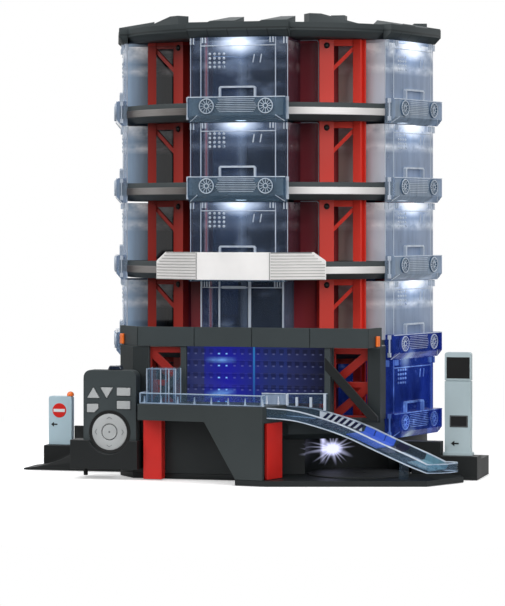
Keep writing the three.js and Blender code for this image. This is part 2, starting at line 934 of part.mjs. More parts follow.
function roofCap() {
  const profile = [
    [0, roofUnderside],
    [roofFootRadius, roofUnderside],
    [roofRadius, roofLipHeight],
    [roofRadius, roofRimTop],
    [roofRadius - roofRimWidth, roofRimTop],
    [roofRadius - roofRimWidth, roofPlateTop],
    [0, roofPlateTop],
  ];
  const disc = new THREE.LatheGeometry(profile.map(([r, z]) => new THREE.Vector2(r, z)), floorArcs);
  const pieces = [disc.rotateX(Math.PI / 2)];
  const eaves = [
    [-roofRadius - overrun, roofEaves],
    [-roofCrestInner, roofCrestTop],
    [-roofCrestInner, roofCrestTop + overrun],
    [-roofRadius - overrun, roofCrestTop + overrun],
  ];
  const block = [
    [-roofBlockInner, roofPlateTop - fuse],
    [-roofBlockInner, roofBlockTop],
    [-roofRadius, roofBlockTop],
    [-roofRadius, roofLipHeight],
    [-roofFootRadius, roofUnderside],
    [-roofFootRadius + overrun, roofUnderside],
    [-roofFootRadius + overrun, roofPlateTop - fuse],
  ];
  for (let index = 0; index < columnCount; index++) {
    const turn = index * columnTurn;
    pieces.push(turned(alongX(block, -roofBlockHalf, roofBlockHalf), turn));
    for (const start of [-crestOffset, crestSpacing - crestOffset]) {
      const crest = [
        [start, roofBlockTop - fuse],
        [start + crestWidth, roofBlockTop - fuse],
        [start + crestWidth, roofCrestTop],
        [start + crestSlope, roofCrestTop],
      ];
      const wedge = alongY(crest, -roofRadius, -roofCrestInner);
      pieces.push(cut(wedge, alongX(eaves, -roofBlockHalf, roofBlockHalf)).rotate(0, 0, turn));
    }
  }
  for (const { turn, flip } of bays) {
    const crest = [
      [-bayCrestHalf, roofPlateTop - fuse],
      [bayCrestHalf, roofPlateTop - fuse],
      [bayCrestHalf, bayCrestLow],
      [bayCrestFlat - bayCrestHalf, bayCrestTop],
      [-bayCrestHalf, bayCrestTop],
    ];
    const outline = flip ? mirrored(crest) : crest;
    pieces.push(turned(alongY(outline, -bayCrestOuter, -bayCrestInner), turn));
  }
  pieces.push(
    box(
      roofBoxX - roofBoxHalf,
      roofBoxX + roofBoxHalf,
      -roofBoxY - roofBoxHalf,
      -roofBoxY + roofBoxHalf,
      roofPlateTop - fuse,
      roofBoxTop
    )
  );
  pieces.push(post(roofSocketRadius, roofUnderside - roofSocketDrop, roofUnderside + fuse, 10));
  const socketFoot = roofUnderside - roofSocketDrop - overrun;
  const socket = post(journalRadius + runningGap, socketFoot, journalTop + gap, 10);
  return cut(join(...pieces), socket);
}

add("roof_cap", roofCap(), charcoal);

// Lift: a turning mast with side rails, a carriage that climbs it and a tray that slides out.

function liftMast() {
  const line = [
    [-mastHalf, -mastReach],
    [-mastHalf, mastBack],
    [mastHalf, mastBack],
    [mastHalf, -mastReach],
  ];
  const channel = wallOutline(line.reverse(), mastWall);
  const discTop = mastFoot + mastDiscHeight;
  return join(
    prism(channel, discTop - fuse, mastTop + fuse),
    post(mastDiscRadius, mastFoot, discTop, 16),
    post(mastDiscRadius, mastTop, mastTop + mastTopDisc, 16),
    box(-mastHalf, mastHalf, mastBack - mastWall, mastBack, mastFoot, mastTop + mastTopDisc),
    post(journalRadius, journalBottom, mastFoot + fuse, 10),
    post(journalRadius, mastTop, journalTop, 10)
  );
}

function liftCarriage() {
  const armTop = trayRest - gap;
  const armBottom = armTop - armHeight;
  const side = mastHalf - mastWall - runningGap;
  const back = mastBack - mastWall - runningGap;
  const pieces = [box(-side, side, back - carriagePlate, back, armBottom, armBottom + carriageHeight)];
  for (const sign of [-1, 1]) {
    const [shoeLeft, shoeRight] = [sign * side, sign * (side - carriageShoe)].sort((a, b) => a - b);
    pieces.push(box(shoeLeft, shoeRight, -mastReach, back, armBottom, armBottom + carriageHeight));
    const centre = sign * runnerX;
    pieces.push(box(centre - armHalf, centre + armHalf, -armReach, back - fuse, armBottom, armTop));
    for (const edge of [centre - armHalf, centre + armHalf - armGuide]) {
      const top = armTop + armGuideRise;
      pieces.push(box(edge, edge + armGuide, -armReach, back - carriagePlate, armTop - fuse, top));
    }
  }
  pieces.push(box(-side, side, -mastReach, -mastReach + carriagePlate, armBottom, armTop - fuse));
  return join(...pieces);
}

function carTray() {
  const plateLow = trayRest + runnerHeight;
  const plateHigh = plateLow + trayPlate;
  const pieces = [box(-trayHalf, trayHalf, -trayOuter, -trayInner, plateLow, plateHigh)];
  for (const sign of [-1, 1]) {
    const centre = sign * runnerX;
    const [left, right] = [centre - runnerHalf, centre + runnerHalf];
    pieces.push(box(left, right, -trayOuter, -runnerStart, trayRest, plateLow + trayPlate / 2));
    const [lipLeft, lipRight] = [sign * trayHalf, sign * (trayHalf - trayLip)].sort((a, b) => a - b);
    pieces.push(box(lipLeft, lipRight, -trayOuter, -trayInner, plateLow, plateHigh + trayLipRise));
  }
  return join(...pieces);
}

add("lift_mast", liftMast(), dark);
add("lift_carriage", liftCarriage(), charcoal);
add("car_tray", carTray(), grey);

// A spur gear outline with straight flanks, one tooth or one gap on the X axis.
function gearOutline(teeth, startsOnTooth) {
  const pitchRadius = (teeth * toothModule) / 2;
  const tip = pitchRadius + toothModule * tipShare;
  const root = pitchRadius - toothModule * rootShare;
  const step = (2 * Math.PI) / teeth;
  const shares = [[-rootHalfShare, root], [-tipHalfShare, tip], [tipHalfShare, tip], [rootHalfShare, root]];
  const points = [];
  for (let tooth = 0; tooth < teeth; tooth++) {
    const centre = (tooth + (startsOnTooth ? 0 : 0.5)) * step;
    for (const [share, radius] of shares) {
      const angle = centre + share * step;
      points.push([radius * Math.cos(angle), radius * Math.sin(angle)]);
    }
  }
  return points;
}

function turnGear() {
  const top = gearBottom + gearThickness;
  const rim = prism(gearOutline(gearTeeth, true), gearBottom, top);
  const windows = [];
  const half = THREE.MathUtils.degToRad(columnTurn * gearWindowShare) / 2;
  for (let index = 0; index < columnCount; index++) {
    const corners = [
      [gearHoleRadius, -half],
      [gearHoleRadius, half],
      [gearHubRadius, half],
      [gearHubRadius, -half],
    ];
    const outline = corners.map(([radius, angle]) => [radius * Math.cos(angle), radius * Math.sin(angle)]);
    windows.push(turned(prism(outline, gearBottom - overrun, top + overrun), index * columnTurn));
  }
  return cut(rim, post(journalRadius + gap, gearBottom - overrun, top + overrun, 10), ...windows);
}

function drivePinion() {
  const top = gearBottom + gearThickness;
  const wheel = prism(gearOutline(pinionTeeth, pinionTeeth % 2 === 1), gearBottom, top);
  const bore = post(pinionPinRadius + runningGap, gearBottom - overrun, top + overrun, 10);
  return cut(wheel.translate(gearDistance, 0, 0), bore.translate(gearDistance, 0, 0));
}

const gearDistance = ((gearTeeth + pinionTeeth) * toothModule) / 2 + gap;
add("turn_gear", turnGear(), grey);
add("drive_pinion", drivePinion(), grey);

// Base: a plate with an apron, a round pedestal and the bay of the display turntable.

function moved(geometry, x, y, z = 0) {
  return geometry.translate(x, y, z);
}

function baseTray() {
  const wingEdge = -wingFront - gap;
  const apron = [
    [portalLeft - portalFacet, -sideWallFront],
    [portalLeft, -portalFront],
    [portalLeft, -apronFront],
    [0, -apronFront],
    [apronNoseX, -apronNose],
    [apronNoseEnd, -apronNoseFront],
    [apronEndX, -apronEndY],
    [apronTipX, -apronTipY],
    [apronBackX, wingEdge],
    [portalLeft, wingEdge],
  ];
  const bay = turntableRadius + bayClearance;
  const recess = turntableRadius + runningGap;
  const low = basePlate - fuse;
  const high = pedestalTop + overrun;
  const hollow = cut(
    post(pedestalRadius - pedestalWall, basePlate, high, floorArcs),
    moved(post(bay + bayWall, low, high, bayArcs), turntableX, -turntableY)
  );
  const pedestal = cut(
    post(pedestalRadius, low, pedestalTop, floorArcs),
    hollow,
    moved(post(bay, basePlate, high, bayArcs), turntableX, -turntableY),
    box(turntableX, pedestalRadius + overrun, -pedestalRadius, -turntableY, basePlate, high)
  );
  const body = join(
    post(baseRadius, 0, basePlate, floorArcs),
    prism(apron, 0, basePlate),
    moved(post(bay - gap, 0, basePlate, bayArcs), turntableX, -turntableY),
    pedestal,
    post(bearingRadius, low, bearingTop, 16),
    moved(post(pinionShoulder, low, bearingTop, 12), gearDistance, 0),
    moved(post(pinionPinRadius, low, gearBottom + gearThickness, 10), gearDistance, 0)
  );
  return cut(
    body,
    post(journalRadius + runningGap, socketFloor, bearingTop + overrun, 10),
    moved(post(recess, basePlate - turntableRecess, high, bayArcs), turntableX, -turntableY),
    moved(post(turntablePinRadius + runningGap, -overrun, basePlate, 12), turntableX, -turntableY)
  );
}

add("base_tray", baseTray(), dark);

function displayTurntable() {
  const bottom = basePlate - turntableRecess + gap;
  const top = basePlate + turntableRise;
  const disc = cut(
    post(turntableRadius, bottom, top, bayArcs),
    cut(
      post(turntableGripRadius, top - turntableGrip, top + overrun, bayArcs),
      post(turntableGripRadius - turntableGrip, top - overrun, top + overrun, bayArcs)
    )
  );
  const pin = post(turntablePinRadius, turntablePinFoot, bottom + fuse, 12);
  return join(disc, pin).translate(turntableX, -turntableY, 0);
}

add("display_turntable", displayTurntable(), dark);

// Portal: a folded wall with a lobby opening, two braced openings and the turntable's bay.

function portalWallLine() {
  return [
    [portalLeft - portalFacet, -sideWallFront],
    [portalLeft, -portalFront],
    [lobbyRight + postWidth, -portalFront],
    [lobbyRight + postWidth, -portalSetback],
    [portalRight, -portalSetback],
    [portalRight - portalReturn, -sideWallFront],
    [portalRight - portalReturn, -sideWallBack],
  ];
}

const lobbyLeft = portalCentre - lobbyLeftHalf;
const lobbyRight = portalCentre + lobbyRightHalf;
const braceOpenings = [
  { side: "left", inner: lobbyLeft - postWidth, outer: leftOpeningEnd, front: portalFront },
  { side: "right", inner: lobbyRight + postWidth, outer: rightOpeningEnd, front: portalSetback },
];

function frontPortal() {
  const foot = basePlate + gap;
  const [front, back] = [-portalFront - overrun, -portalFront + portalWall + overrun];
  const bayTop = portalLintel - portalWall;
  const right = portalRight + overrun;
  const step = lobbyRight + postWidth;
  const slot = 2 * gap;
  const wall = cut(
    prism(wallOutline(portalWallLine(), portalWall), foot, portalTop),
    box(lobbyLeft, lobbyRight, front, back, portalSill, portalTop + overrun),
    box(portalBayLeft, right, front, -sideWallBack + overrun, foot - overrun, bayTop),
    box(
      step - portalWall - overrun,
      step + overrun,
      -doorBack - doorThickness - slot,
      -doorBack + slot,
      deckTop,
      portalTop + overrun
    ),
    ...braceOpenings.map(({ inner, outer, front: face }) => {
      const [left, end] = [Math.min(inner, outer), Math.max(inner, outer)];
      const [near, deep] = [-face - overrun, -face + portalWall + overrun];
      return box(left, end, near, deep, portalLintel, portalTop + overrun);
    })
  );
  const struts = braceOpenings.map(({ inner, outer, front: face }) => {
    const side = Math.sign(outer);
    const [near, far] = [inner - side * fuse, outer + side * fuse];
    const low = portalLintel - fuse;
    const outline = [[near, strutTop], [near, strutTop - strutHeight], [far, low], [far, low + strutHeight]];
    return alongY(outline, -face, -face + portalWall);
  });
  return join(wall, ...struts);
}

add("front_portal", frontPortal(), charcoal);

const collarLeft = collarCentre - (collarPanel * collarPanels) / 2;
const collarRight = collarCentre + (collarPanel * collarPanels) / 2;

function collarBand() {
  const line = [
    [collarLeft - collarLeftEnd, -collarFront + collarEndDepth],
    [collarLeft, -collarFront],
    [collarRight, -collarFront],
    [collarRight + collarRightEnd, -collarFront + collarEndDepth],
  ];
  const bottom = portalTop + gap;
  const seams = Array.from({ length: collarPanels + 1 }, (_, index) => {
    const x = collarLeft + index * collarPanel;
    const [low, high] = [bottom - overrun, collarTop + overrun];
    const sink = -collarFront + collarSeamDepth;
    return box(x - collarSeam / 2, x + collarSeam / 2, -collarFront - overrun, sink, low, high);
  });
  return cut(prism(wallOutline(line, collarWall), bottom, collarTop), ...seams);
}

add("collar_band", collarBand(), charcoal);

// A lamp on a slanted end of the collar that starts at an edge and runs sideways by a signed width.
function collarLamp(edge, width, share) {
  const lamp = box(-lampHalf, lampHalf, -gap - lampDepth, -gap, lampFoot, lampFoot + lampHeight);
  const turn = THREE.MathUtils.radToDeg(Math.atan2(collarEndDepth, Math.abs(width)));
  const y = -collarFront + collarEndDepth * share;
  return moved(turned(lamp, Math.sign(width) * turn), edge + width * share, y);
}

add("collar_lamp_left", collarLamp(collarLeft, -collarLeftEnd, leftLampShare), amber);
add("collar_lamp_right", collarLamp(collarRight, collarRightEnd, rightLampShare), amber);

// Lobby doors: framed leaves that meet in the middle and slide outward.

function lobbyDoor(side, width) {
  const bottom = deckTop + gap;
  const front = -doorBack - doorThickness;
  const near = gap / 2;
  const far = near + width;
  const leaf = box(near, far, front, -doorBack, bottom, portalTop);
  const pitch = (portalTop - bottom - doorFrame) / doorRows;
  const panes = Array.from({ length: doorRows }, (_, row) => {
    const low = bottom + doorFrame + row * pitch;
    const high = low + pitch - (row === doorRows - 1 ? doorFrame : doorRib);
    return box(near + doorFrame, far - doorFrame, front - overrun, -doorBack - doorSkin, low, high);
  });
  const door = cut(leaf, ...panes);
  return (side > 0 ? door : flipped(door)).translate(portalCentre, 0, 0);
}

add("lobby_door_left", lobbyDoor(-1, leftDoorWidth), navy);
add("lobby_door_right", lobbyDoor(1, rightDoorWidth), navy);

// Brace panels: flat red trusses behind the two narrow openings.

function bracePanel({ inner, outer, front: face }) {
  const side = Math.sign(outer);
  const [near, far] = [inner - side * bracePanelMargin, outer + side * bracePanelMargin];
  const foot = portalLintel - bracePanelMargin + gap;
  const front = -face + portalWall + gap;
  const back = front + bracePanelThickness;
  const plate = box(Math.min(near, far), Math.max(near, far), front, back, foot, bracePanelTop);
  const middle = (foot + bracePanelTop) / 2;
  const windows = [];
  for (const [low, high] of [[foot, middle], [middle, bracePanelTop]]) {
    const a = near + side * bracePanelBar;
    const b = far - side * bracePanelBar;
    const rise = high === middle ? bracePanelBar / 2 : bracePanelBar;
    const [bottom, top] = [low + bracePanelBar - (low === middle ? bracePanelBar / 2 : 0), high - rise];
    windows.push([[a, bottom + bracePanelBar], [a, top], [b - side * bracePanelBar, top]]);
    windows.push([[a + side * bracePanelBar, bottom], [b, top - bracePanelBar], [b, bottom]]);
  }
  return cut(plate, ...windows.map((outline) => alongY(outline, front - overrun, back + overrun)));
}

for (const opening of braceOpenings) add(`brace_panel_${opening.side}`, bracePanel(opening), red);

// Balcony

const deckLine = [
  [deckLeftX, -apronFront],
  [deckLeftFrontX, -deckLeftFront],
  [deckCornerX, -deckCornerY],
  [deckBackX, -apronFront],
];

// The direction of the deck's right edge, from its front corner to the portal.
const deckEdge = (() => {
  const [, , corner, rear] = deckLine;
  const length = Math.hypot(rear[0] - corner[0], rear[1] - corner[1]);
  return [(rear[0] - corner[0]) / length, (rear[1] - corner[1]) / length];
})();

function alongDeckEdge([x, y], distance) {
  return [x + deckEdge[0] * distance, y + deckEdge[1] * distance];
}

function balconyDeck() {
  const under = deckTop - deckPlate;
  const [, frontLeft, frontRight] = deckLine;
  const turn = Math.atan2(frontRight[1] - frontLeft[1], frontRight[0] - frontLeft[0]);
  const length = Math.hypot(frontRight[0] - frontLeft[0], frontRight[1] - frontLeft[1]);
  const leg = [
    [length * (1 - legTopShare), deckFascia + fuse],
    [length * (1 - legFootShare), basePlate + gap],
    [length, basePlate + gap],
    [length, deckFascia + fuse],
  ];
  const legSolid = alongY(leg, 0, legWall).rotateZ(turn).translate(frontLeft[0], frontLeft[1], 0);
  const [low, high] = [deckFascia - overrun, deckTop + overrun];
  const behind = box(deckLeftX, deckBackX, -apronFront, -apronFront + deckWall, low, high);
  return join(
    prism(deckLine, under, deckTop),
    cut(prism(wallOutline(deckLine, deckWall), deckFascia, deckTop), behind),
    box(lobbyFloorLeft, lobbyFloorRight, -apronFront - fuse, -lobbyFloorSplit, under, deckTop),
    box(-lobbyFloorHalf, lobbyFloorHalf, -lobbyFloorSplit - fuse, -lobbyFloorInner, under, deckTop),
    legSolid
  );
}

add("balcony_deck", balconyDeck(), charcoal);

function railLine() {
  const inset = wallOutline(deckLine, railInset).slice(deckLine.length).reverse();
  const [leftBack, leftFront, rightFront] = inset;
  return [leftBack, leftFront, rightFront, alongDeckEdge(rightFront, slopeStart)];
}

function balconyRail() {
  const line = railLine();
  const [bottom, top] = [deckTop + gap, deckTop + gap + railHeight];
  const pieces = [prism(wallOutline(line, railWall), bottom, top)];
  const [, from, to] = line;
  const length = Math.hypot(to[0] - from[0], to[1] - from[1]);
  const [alongShareX, alongShareY] = [(to[0] - from[0]) / length, (to[1] - from[1]) / length];
  const [sideX, sideY] = leftNormal(from, to);
  const start = railWall - fuse;
  for (let along = railFinPitch; along < length; along += railFinPitch) {
    const [x, y] = [from[0] + alongShareX * along, from[1] + alongShareY * along];
    const foot = [x + sideX * start, y + sideY * start];
    const tip = [x + sideX * railFin, y + sideY * railFin];
    pieces.push(prism(barOutline(foot, tip, railWall), bottom, top));
  }
  return join(...pieces);
}

add("balcony_rail", balconyRail(), clear);

function glassBooth() {
  const bottom = deckTop + gap;
  const shell = box(-boothHalf, boothHalf, -boothHalfDepth, boothHalfDepth, bottom, bottom + boothHeight);
  const [side, depth] = [boothHalf - boothWall, boothHalfDepth - boothWall];
  const inside = box(-side, side, -depth, depth, bottom - overrun, bottom + boothHeight - boothWall);
  const head = bottom + boothHeight - boothDoor / 2;
  const doorway = box(-boothDoor, boothDoor, 0, boothHalfDepth + overrun, bottom - overrun, head);
  return cut(shell, inside, doorway).translate(boothX, -boothY, 0);
}

add("glass_booth", glassBooth(), clear);

const redHead = deckFascia - gap;
add(
  "red_column_left",
  box(redLeftX - redLeftHalf, redLeftX + redLeftHalf, -redLeftFront, -apronFront - gap, redFoot, redHead),
  brightRed
);

function redStrip() {
  const corner = [deckCornerX, -deckCornerY];
  const from = alongDeckEdge(corner, redStripStart + legWall);
  const to = alongDeckEdge(corner, redStripStart + legWall + redStripWidth);
  return prism(wallOutline([from, to], redStripWall), basePlate + gap, redHead);
}

add("red_column_right", redStrip(), brightRed);

// Slope: a clear skewed channel from the balcony down to the front of the apron.

// Lays a piece drawn along X and across Y on the slope's skewed plan.
function onSlope(piece) {
  const turn = THREE.MathUtils.degToRad(slopeTurn);
  const [forwardX, forwardY] = [Math.cos(turn), Math.sin(turn)];
  const reach = -deckEdge[0] * forwardY + deckEdge[1] * forwardX;
  const [acrossX, acrossY] = [deckEdge[0] / reach, deckEdge[1] / reach];
  const start = alongDeckEdge([deckCornerX, -deckCornerY], slopeStart);
  const [x, y] = [start[0] + deckEdge[1] * gap, start[1] - deckEdge[0] * gap];
  const lay = new THREE.Matrix4();
  lay.set(forwardX, acrossX, 0, x, forwardY, acrossY, 0, y, 0, 0, 1, 0, 0, 0, 0, 1);
  return piece.applyMatrix4(lay);
}

const slopeFoot = basePlate + gap;
const slopeHeights = slopeShares.map(([along, upper, lower]) => ({
  along: along * slopeLength,
  top: slopeLow + (slopeHigh - slopeLow) * upper,
  bottom: slopeFoot + (slopeHigh - slopeWallHeight - slopeFoot) * lower,
}));

function slopeBottom(along) {
  const after = slopeHeights.findIndex((station) => station.along >= along);
  const [from, to] = [slopeHeights[Math.max(after - 1, 0)], slopeHeights[Math.max(after, 1)]];
  return from.bottom + ((to.bottom - from.bottom) * (along - from.along)) / (to.along - from.along);
}

function clearSlope() {
  const lower = slopeHeights.map(({ along, bottom }) => [along, bottom]);
  const upper = slopeHeights.map(({ along, top }) => [along, top]).reverse();
  const bed = slopeHeights.map(({ along, bottom }) => [along, bottom + slopeBed]).reverse();
  const pieces = [
    alongY([...lower, ...upper], 0, slopeWall),
    alongY([...lower, ...upper], slopeWidth - slopeWall, slopeWidth),
    alongY([...lower, ...bed], slopeWall - fuse, slopeWidth - slopeWall + fuse),
  ];
  const pitch = slopeLength / (slopeRibCount + 1);
  for (let index = 1; index <= slopeRibCount; index++) {
    const [start, end] = [index * pitch - slopeRibHalf, index * pitch + slopeRibHalf];
    const [left, right] = [slopeBottom(start) + slopeBed, slopeBottom(end) + slopeBed];
    const rib = [
      [start, left - fuse],
      [end, right - fuse],
      [end, right + slopeRibRise],
      [start, left + slopeRibRise],
    ];
    pieces.push(alongY(rib, slopeWall - fuse, slopeWidth - slopeWall + fuse));
  }
  const guard = [
    [0, slopeHigh - slopeGuardLap],
    [slopeGuardLength, slopeBottom(slopeGuardLength) + slopeBed],
    [slopeGuardLength, deckTop + gap + railHeight],
    [0, deckTop + gap + railHeight],
  ];
  pieces.push(alongY(guard, slopeWidth - slopeWall, slopeWidth));
  const [legLeft, legRight] = [slopeLegAlong - slopeLegHalf, slopeLegAlong + slopeLegHalf];
  const legTop = slopeBottom(legRight) + fuse;
  pieces.push(box(legLeft, legRight, slopeLegInset, slopeWidth - slopeLegInset, slopeFoot, legTop));
  return join(...pieces.map(onSlope));
}

add("slope", clearSlope(), clear);

// Entry wing on the right, with the lane behind and a tall sign in front.

function entryWing() {
  const low = -overrun;
  const tallRight = inSignX - inSignHalf - inSignPlinth - wingTallGap;
  const lane = [
    [wingLeft, -wingBack],
    [wingRight, -wingBack],
    [wingRight, -wingLaneFront],
    [wingLeft, -wingLaneFront],
  ];
  const solidWing = join(
    prism(lane, 0, wingLaneFloor),
    box(wingLeft, wingRight, -wingFront, -wingLaneFront + fuse, 0, wingShelf),
    box(wingLeft, tallRight, -wingFront, -wingTallBack, wingShelf - fuse, wingTall)
  );
  const [left, right] = [wingLeft + wingWall, wingRight - wingWall];
  const laneEnd = -wingBack - wingWall;
  const [front, split] = [-wingFront + wingWall, -wingLaneFront - wingWall];
  return cut(
    solidWing,
    box(left, right, split, laneEnd, low, wingLaneFloor - wingWall),
    box(left, right, front, split + fuse, low, wingShelf - wingWall),
    post(baseRadius + gap, low, wingTall + overrun, floorArcs),
    moved(post(turntableRadius + bayClearance, low, wingShelf, bayArcs), turntableX, -turntableY)
  );
}

add("entry_wing", entryWing(), charcoal);

function roundedPanel(left, right, bottom, top, round) {
  return [
    [left, bottom],
    [right, bottom],
    [right, top - round],
    [right - round, top],
    [left + round, top],
    [left, top - round],
  ];
}

function inSign() {
  const foot = wingShelf + gap;
  const [left, right] = [inSignX - inSignHalf, inSignX + inSignHalf];
  const panel = alongY(roundedPanel(left, right, foot, inSignTop, inSignRound), -inSignFront, -inSignBack);
  const plinth = box(
    left - inSignPlinth,
    right + inSignPlinth,
    -inSignFront - inSignPlinth,
    -inSignBack + inSignPlinth,
    foot,
    foot + inSignPlinthRise
  );
  const grooveHeight = foot + (inSignTop - foot) * inSignGrooveShare;
  const groove = box(
    left - overrun,
    right + overrun,
    -inSignFront - overrun,
    -inSignFront + inSignGroove,
    grooveHeight,
    grooveHeight + inSignGroove
  );
  return cut(join(panel, plinth), groove);
}

add("in_sign", inSign(), signGrey);

// Exit lane on the left: a curved ramp, a level lane to the tower and the block of its sign.

function exitRamp() {
  const slope = rampShares.map(([along, rise]) => {
    return [rampLeft + (rampCrest - rampLeft) * along, rampToe + (rampHigh - rampToe) * rise];
  });
  const side = [[rampLeft, 0], ...slope, [portalLeft, rampHigh], [portalLeft, 0]];
  return cut(
    join(
      alongY(side.reverse(), -rampFront, -rampBack),
      box(outBlockLeft, outBlockRight, -rampBack - fuse, -outBlockBack, 0, outBlockTop),
      box(outBlockRight - fuse, laneWallRight, -rampBack - fuse, -rampBack + laneWallThickness, 0, rampHigh),
      box(laneWallLeft, laneWallRight, -rampBack - fuse, -rampBack + laneWallThickness, 0, laneWallTop)
    ),
    post(baseRadius + gap, -overrun, rampHigh + overrun, floorArcs)
  );
}

add("exit_ramp", exitRamp(), charcoal);

function outSign() {
  const foot = outBlockTop + gap;
  const [left, right] = [outSignX - outSignHalf, outSignX + outSignHalf];
  return alongY(roundedPanel(left, right, foot, outSignTop, outSignRound), -outSignFront, -outSignBack);
}

add("out_sign", outSign(), paleBlue);

function outSignLamp() {
  const foot = outSignTop + gap;
  const profile = [
    [0, foot],
    [outLampRadius, foot],
    [outLampRadius, foot + outLampHeight / 2],
    [outLampRadius / 2, foot + outLampHeight],
    [0, foot + outLampHeight],
  ];
  const lamp = new THREE.LatheGeometry(profile.map(([r, z]) => new THREE.Vector2(r, z)), 12);
  return moved(lamp.rotateX(Math.PI / 2), outLampX, -(outSignFront + outSignBack) / 2);
}

add("out_sign_lamp", outSignLamp(), amber);

// Remote control: a case with pockets for its keys, standing in a dock.

function remoteOutline() {
  const [left, right] = [remoteX - remoteHalf, remoteX + remoteHalf];
  const shape = new THREE.Shape();
  shape.moveTo(left, remoteBottom);
  shape.lineTo(right, remoteBottom);
  shape.lineTo(right, remoteTop - remoteRound);
  shape.absarc(right - remoteRound, remoteTop - remoteRound, remoteRound, 0, Math.PI / 2);
  shape.absarc(left + remoteRound, remoteTop - remoteRound, remoteRound, Math.PI / 2, Math.PI);
  shape.lineTo(left, remoteBottom);
  return shape;
}

function keyOutline(centre, half, bottom, height) {
  return [
    [centre - half, bottom],
    [centre + half, bottom],
    [centre + half, bottom + height],
    [centre - half, bottom + height],
  ];
}

const upOutline = [
  [upX - triangleHalf, triangleBase],
  [upX + triangleHalf, triangleBase],
  [upX, triangleBase + triangleHeight],
];
const downOutline = [
  [downX, triangleBase],
  [downX + triangleHalf, triangleBase + triangleHeight],
  [downX - triangleHalf, triangleBase + triangleHeight],
];
const cancelOutline = [
  [cancelX - cancelHalf, cancelBottom],
  [cancelX + cancelHalf - cancelCut, cancelBottom],
  [cancelX + cancelHalf, cancelBottom + cancelCut],
  [cancelX + cancelHalf, cancelBottom + cancelHeight],
  [cancelX - cancelHalf, cancelBottom + cancelHeight],
];
const keys = [
  { name: "up_button", outline: upOutline },
  { name: "down_button", outline: downOutline },
  { name: "light_button", outline: keyOutline(keyX, keyHalf, upperKey, keyHeight) },
  { name: "demo_button", outline: keyOutline(keyX, keyHalf, lowerKey, keyHeight) },
  { name: "cancel_button", outline: cancelOutline },
];

// Grows a small outline outward by a clearance.
function grown(outline, clearance) {
  return outline.map((point, index) => {
    const before = outline[(index + outline.length - 1) % outline.length];
    const after = outline[(index + 1) % outline.length];
    const [ax, ay] = leftNormal(before, point);
    const [bx, by] = leftNormal(point, after);
    const scale = (2 * clearance) / ((ax + bx) ** 2 + (ay + by) ** 2);
    return [point[0] - (ax + bx) * scale, point[1] - (ay + by) * scale];
  });
}

const pocketFloor = -remoteFront + pocketDepth;
const keyFront = -remoteFront - buttonRise;

function remoteBody() {
  const body = alongY(remoteOutline(), -remoteFront, -remoteBack);
  const pockets = keys.map(({ outline }) => {
    return alongY(grown(outline, gap), -remoteFront - overrun, pocketFloor);
  });
  const ringPocket = stud(ringRadius + gap, -remoteFront - overrun, pocketFloor, 24);
  return cut(body, ...pockets, ringPocket.translate(remoteX, 0, ringHeight));
}

add("remote_body", remoteBody(), charcoal);

function ringPad() {
  const ring = cut(
    stud(ringRadius, keyFront, keyFront + buttonLength, 24),
    stud(ringInner, keyFront - overrun, keyFront + buttonLength + overrun, 16)
  );
  return ring.translate(remoteX, 0, ringHeight);
}

add("ring_pad", ringPad(), grey);
const centreButton = stud(centreRadius, keyFront, keyFront + buttonLength, 16);
add("centre_button", centreButton.translate(remoteX, 0, ringHeight), grey);
for (const { name, outline } of keys) add(name, alongY(outline, keyFront, keyFront + buttonLength), grey);

function remoteLens() {
  const [front, back] = [-remoteFront + lensInset, -remoteBack - lensInset];
  const foot = remoteTop + gap;
  const outline = [
    [lensX - lensHalf, foot],
    [lensX + lensHalf, foot],
    [lensX + lensHalf - lensSlope, foot + lensHeight],
    [lensX - lensHalf + lensSlope, foot + lensHeight],
  ];
  return alongY(outline, front, back);
}

add("remote_lens", remoteLens(), smoke);

function remoteDock() {
  const rear = -portalFront - gap;
  const slotBottom = remoteBottom - gap;
  const [slotLeft, slotRight] = [remoteX - remoteHalf - gap, remoteX + remoteHalf + gap];
  const body = join(
    box(dockLeft, dockRight, -dockFront, rear, dockBottom, dockTop),
    box(dockLeft, dockTailRight, rear - fuse, -dockTailBack, dockBottom, dockTailTop),
    moved(post(dockFootRadius, dockFootPad, dockBottom + fuse, 10), dockFootX, -dockFootY)
  );
  const opening = stud(dockCutRadius, -dockFront - overrun, -remoteFront, 28);
  return cut(
    body,
    box(slotLeft, slotRight, -remoteFront - gap, -remoteBack + gap, slotBottom, dockTop + overrun),
    opening.translate(remoteX, 0, ringHeight)
  );
}

add("remote_dock", remoteDock(), dark);

// Sign board: a bare plate with swept wings, in front of the third level.

function signBoard() {
  const line = [
    [-boardWingX, -boardWingY],
    [-boardHalf, -boardFront],
    [boardHalf, -boardFront],
    [boardWingX, -boardWingY],
  ];
  const chamfers = [-1, 1].map((side) => {
    const outer = side * (boardWingX + overrun);
    const inner = side * (boardWingX - boardChamferWidth);
    const low = boardTop - boardChamferHeight;
    const outline = [
      [inner, boardTop],
      [outer, low],
      [outer, boardTop + overrun],
      [inner, boardTop + overrun],
    ];
    return alongY(outline, -boardFront - overrun, -boardWingY + boardWall + overrun);
  });
  const bosses = [-1, 1].map((side) => {
    const [front, back] = [-boardFront + boardWall - fuse, -plateFront - gap];
    return stud(boardBossRadius, front, back, 12).translate(side * boardBossX, 0, boltHeight(3));
  });
  return join(cut(prism(wallOutline(line, boardWall), boardBottom, boardTop), ...chamfers), ...bosses);
}

add("sign_board", signBoard(), silver);

export default garage;
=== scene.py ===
"""Toy parking garage with a lift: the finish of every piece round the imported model.

Sizes are in millimetres in the frame of the model, and each shape is scaled to metres at its end.
"""

import json
import math

import bmesh
import bpy
from mathutils import Matrix, Vector

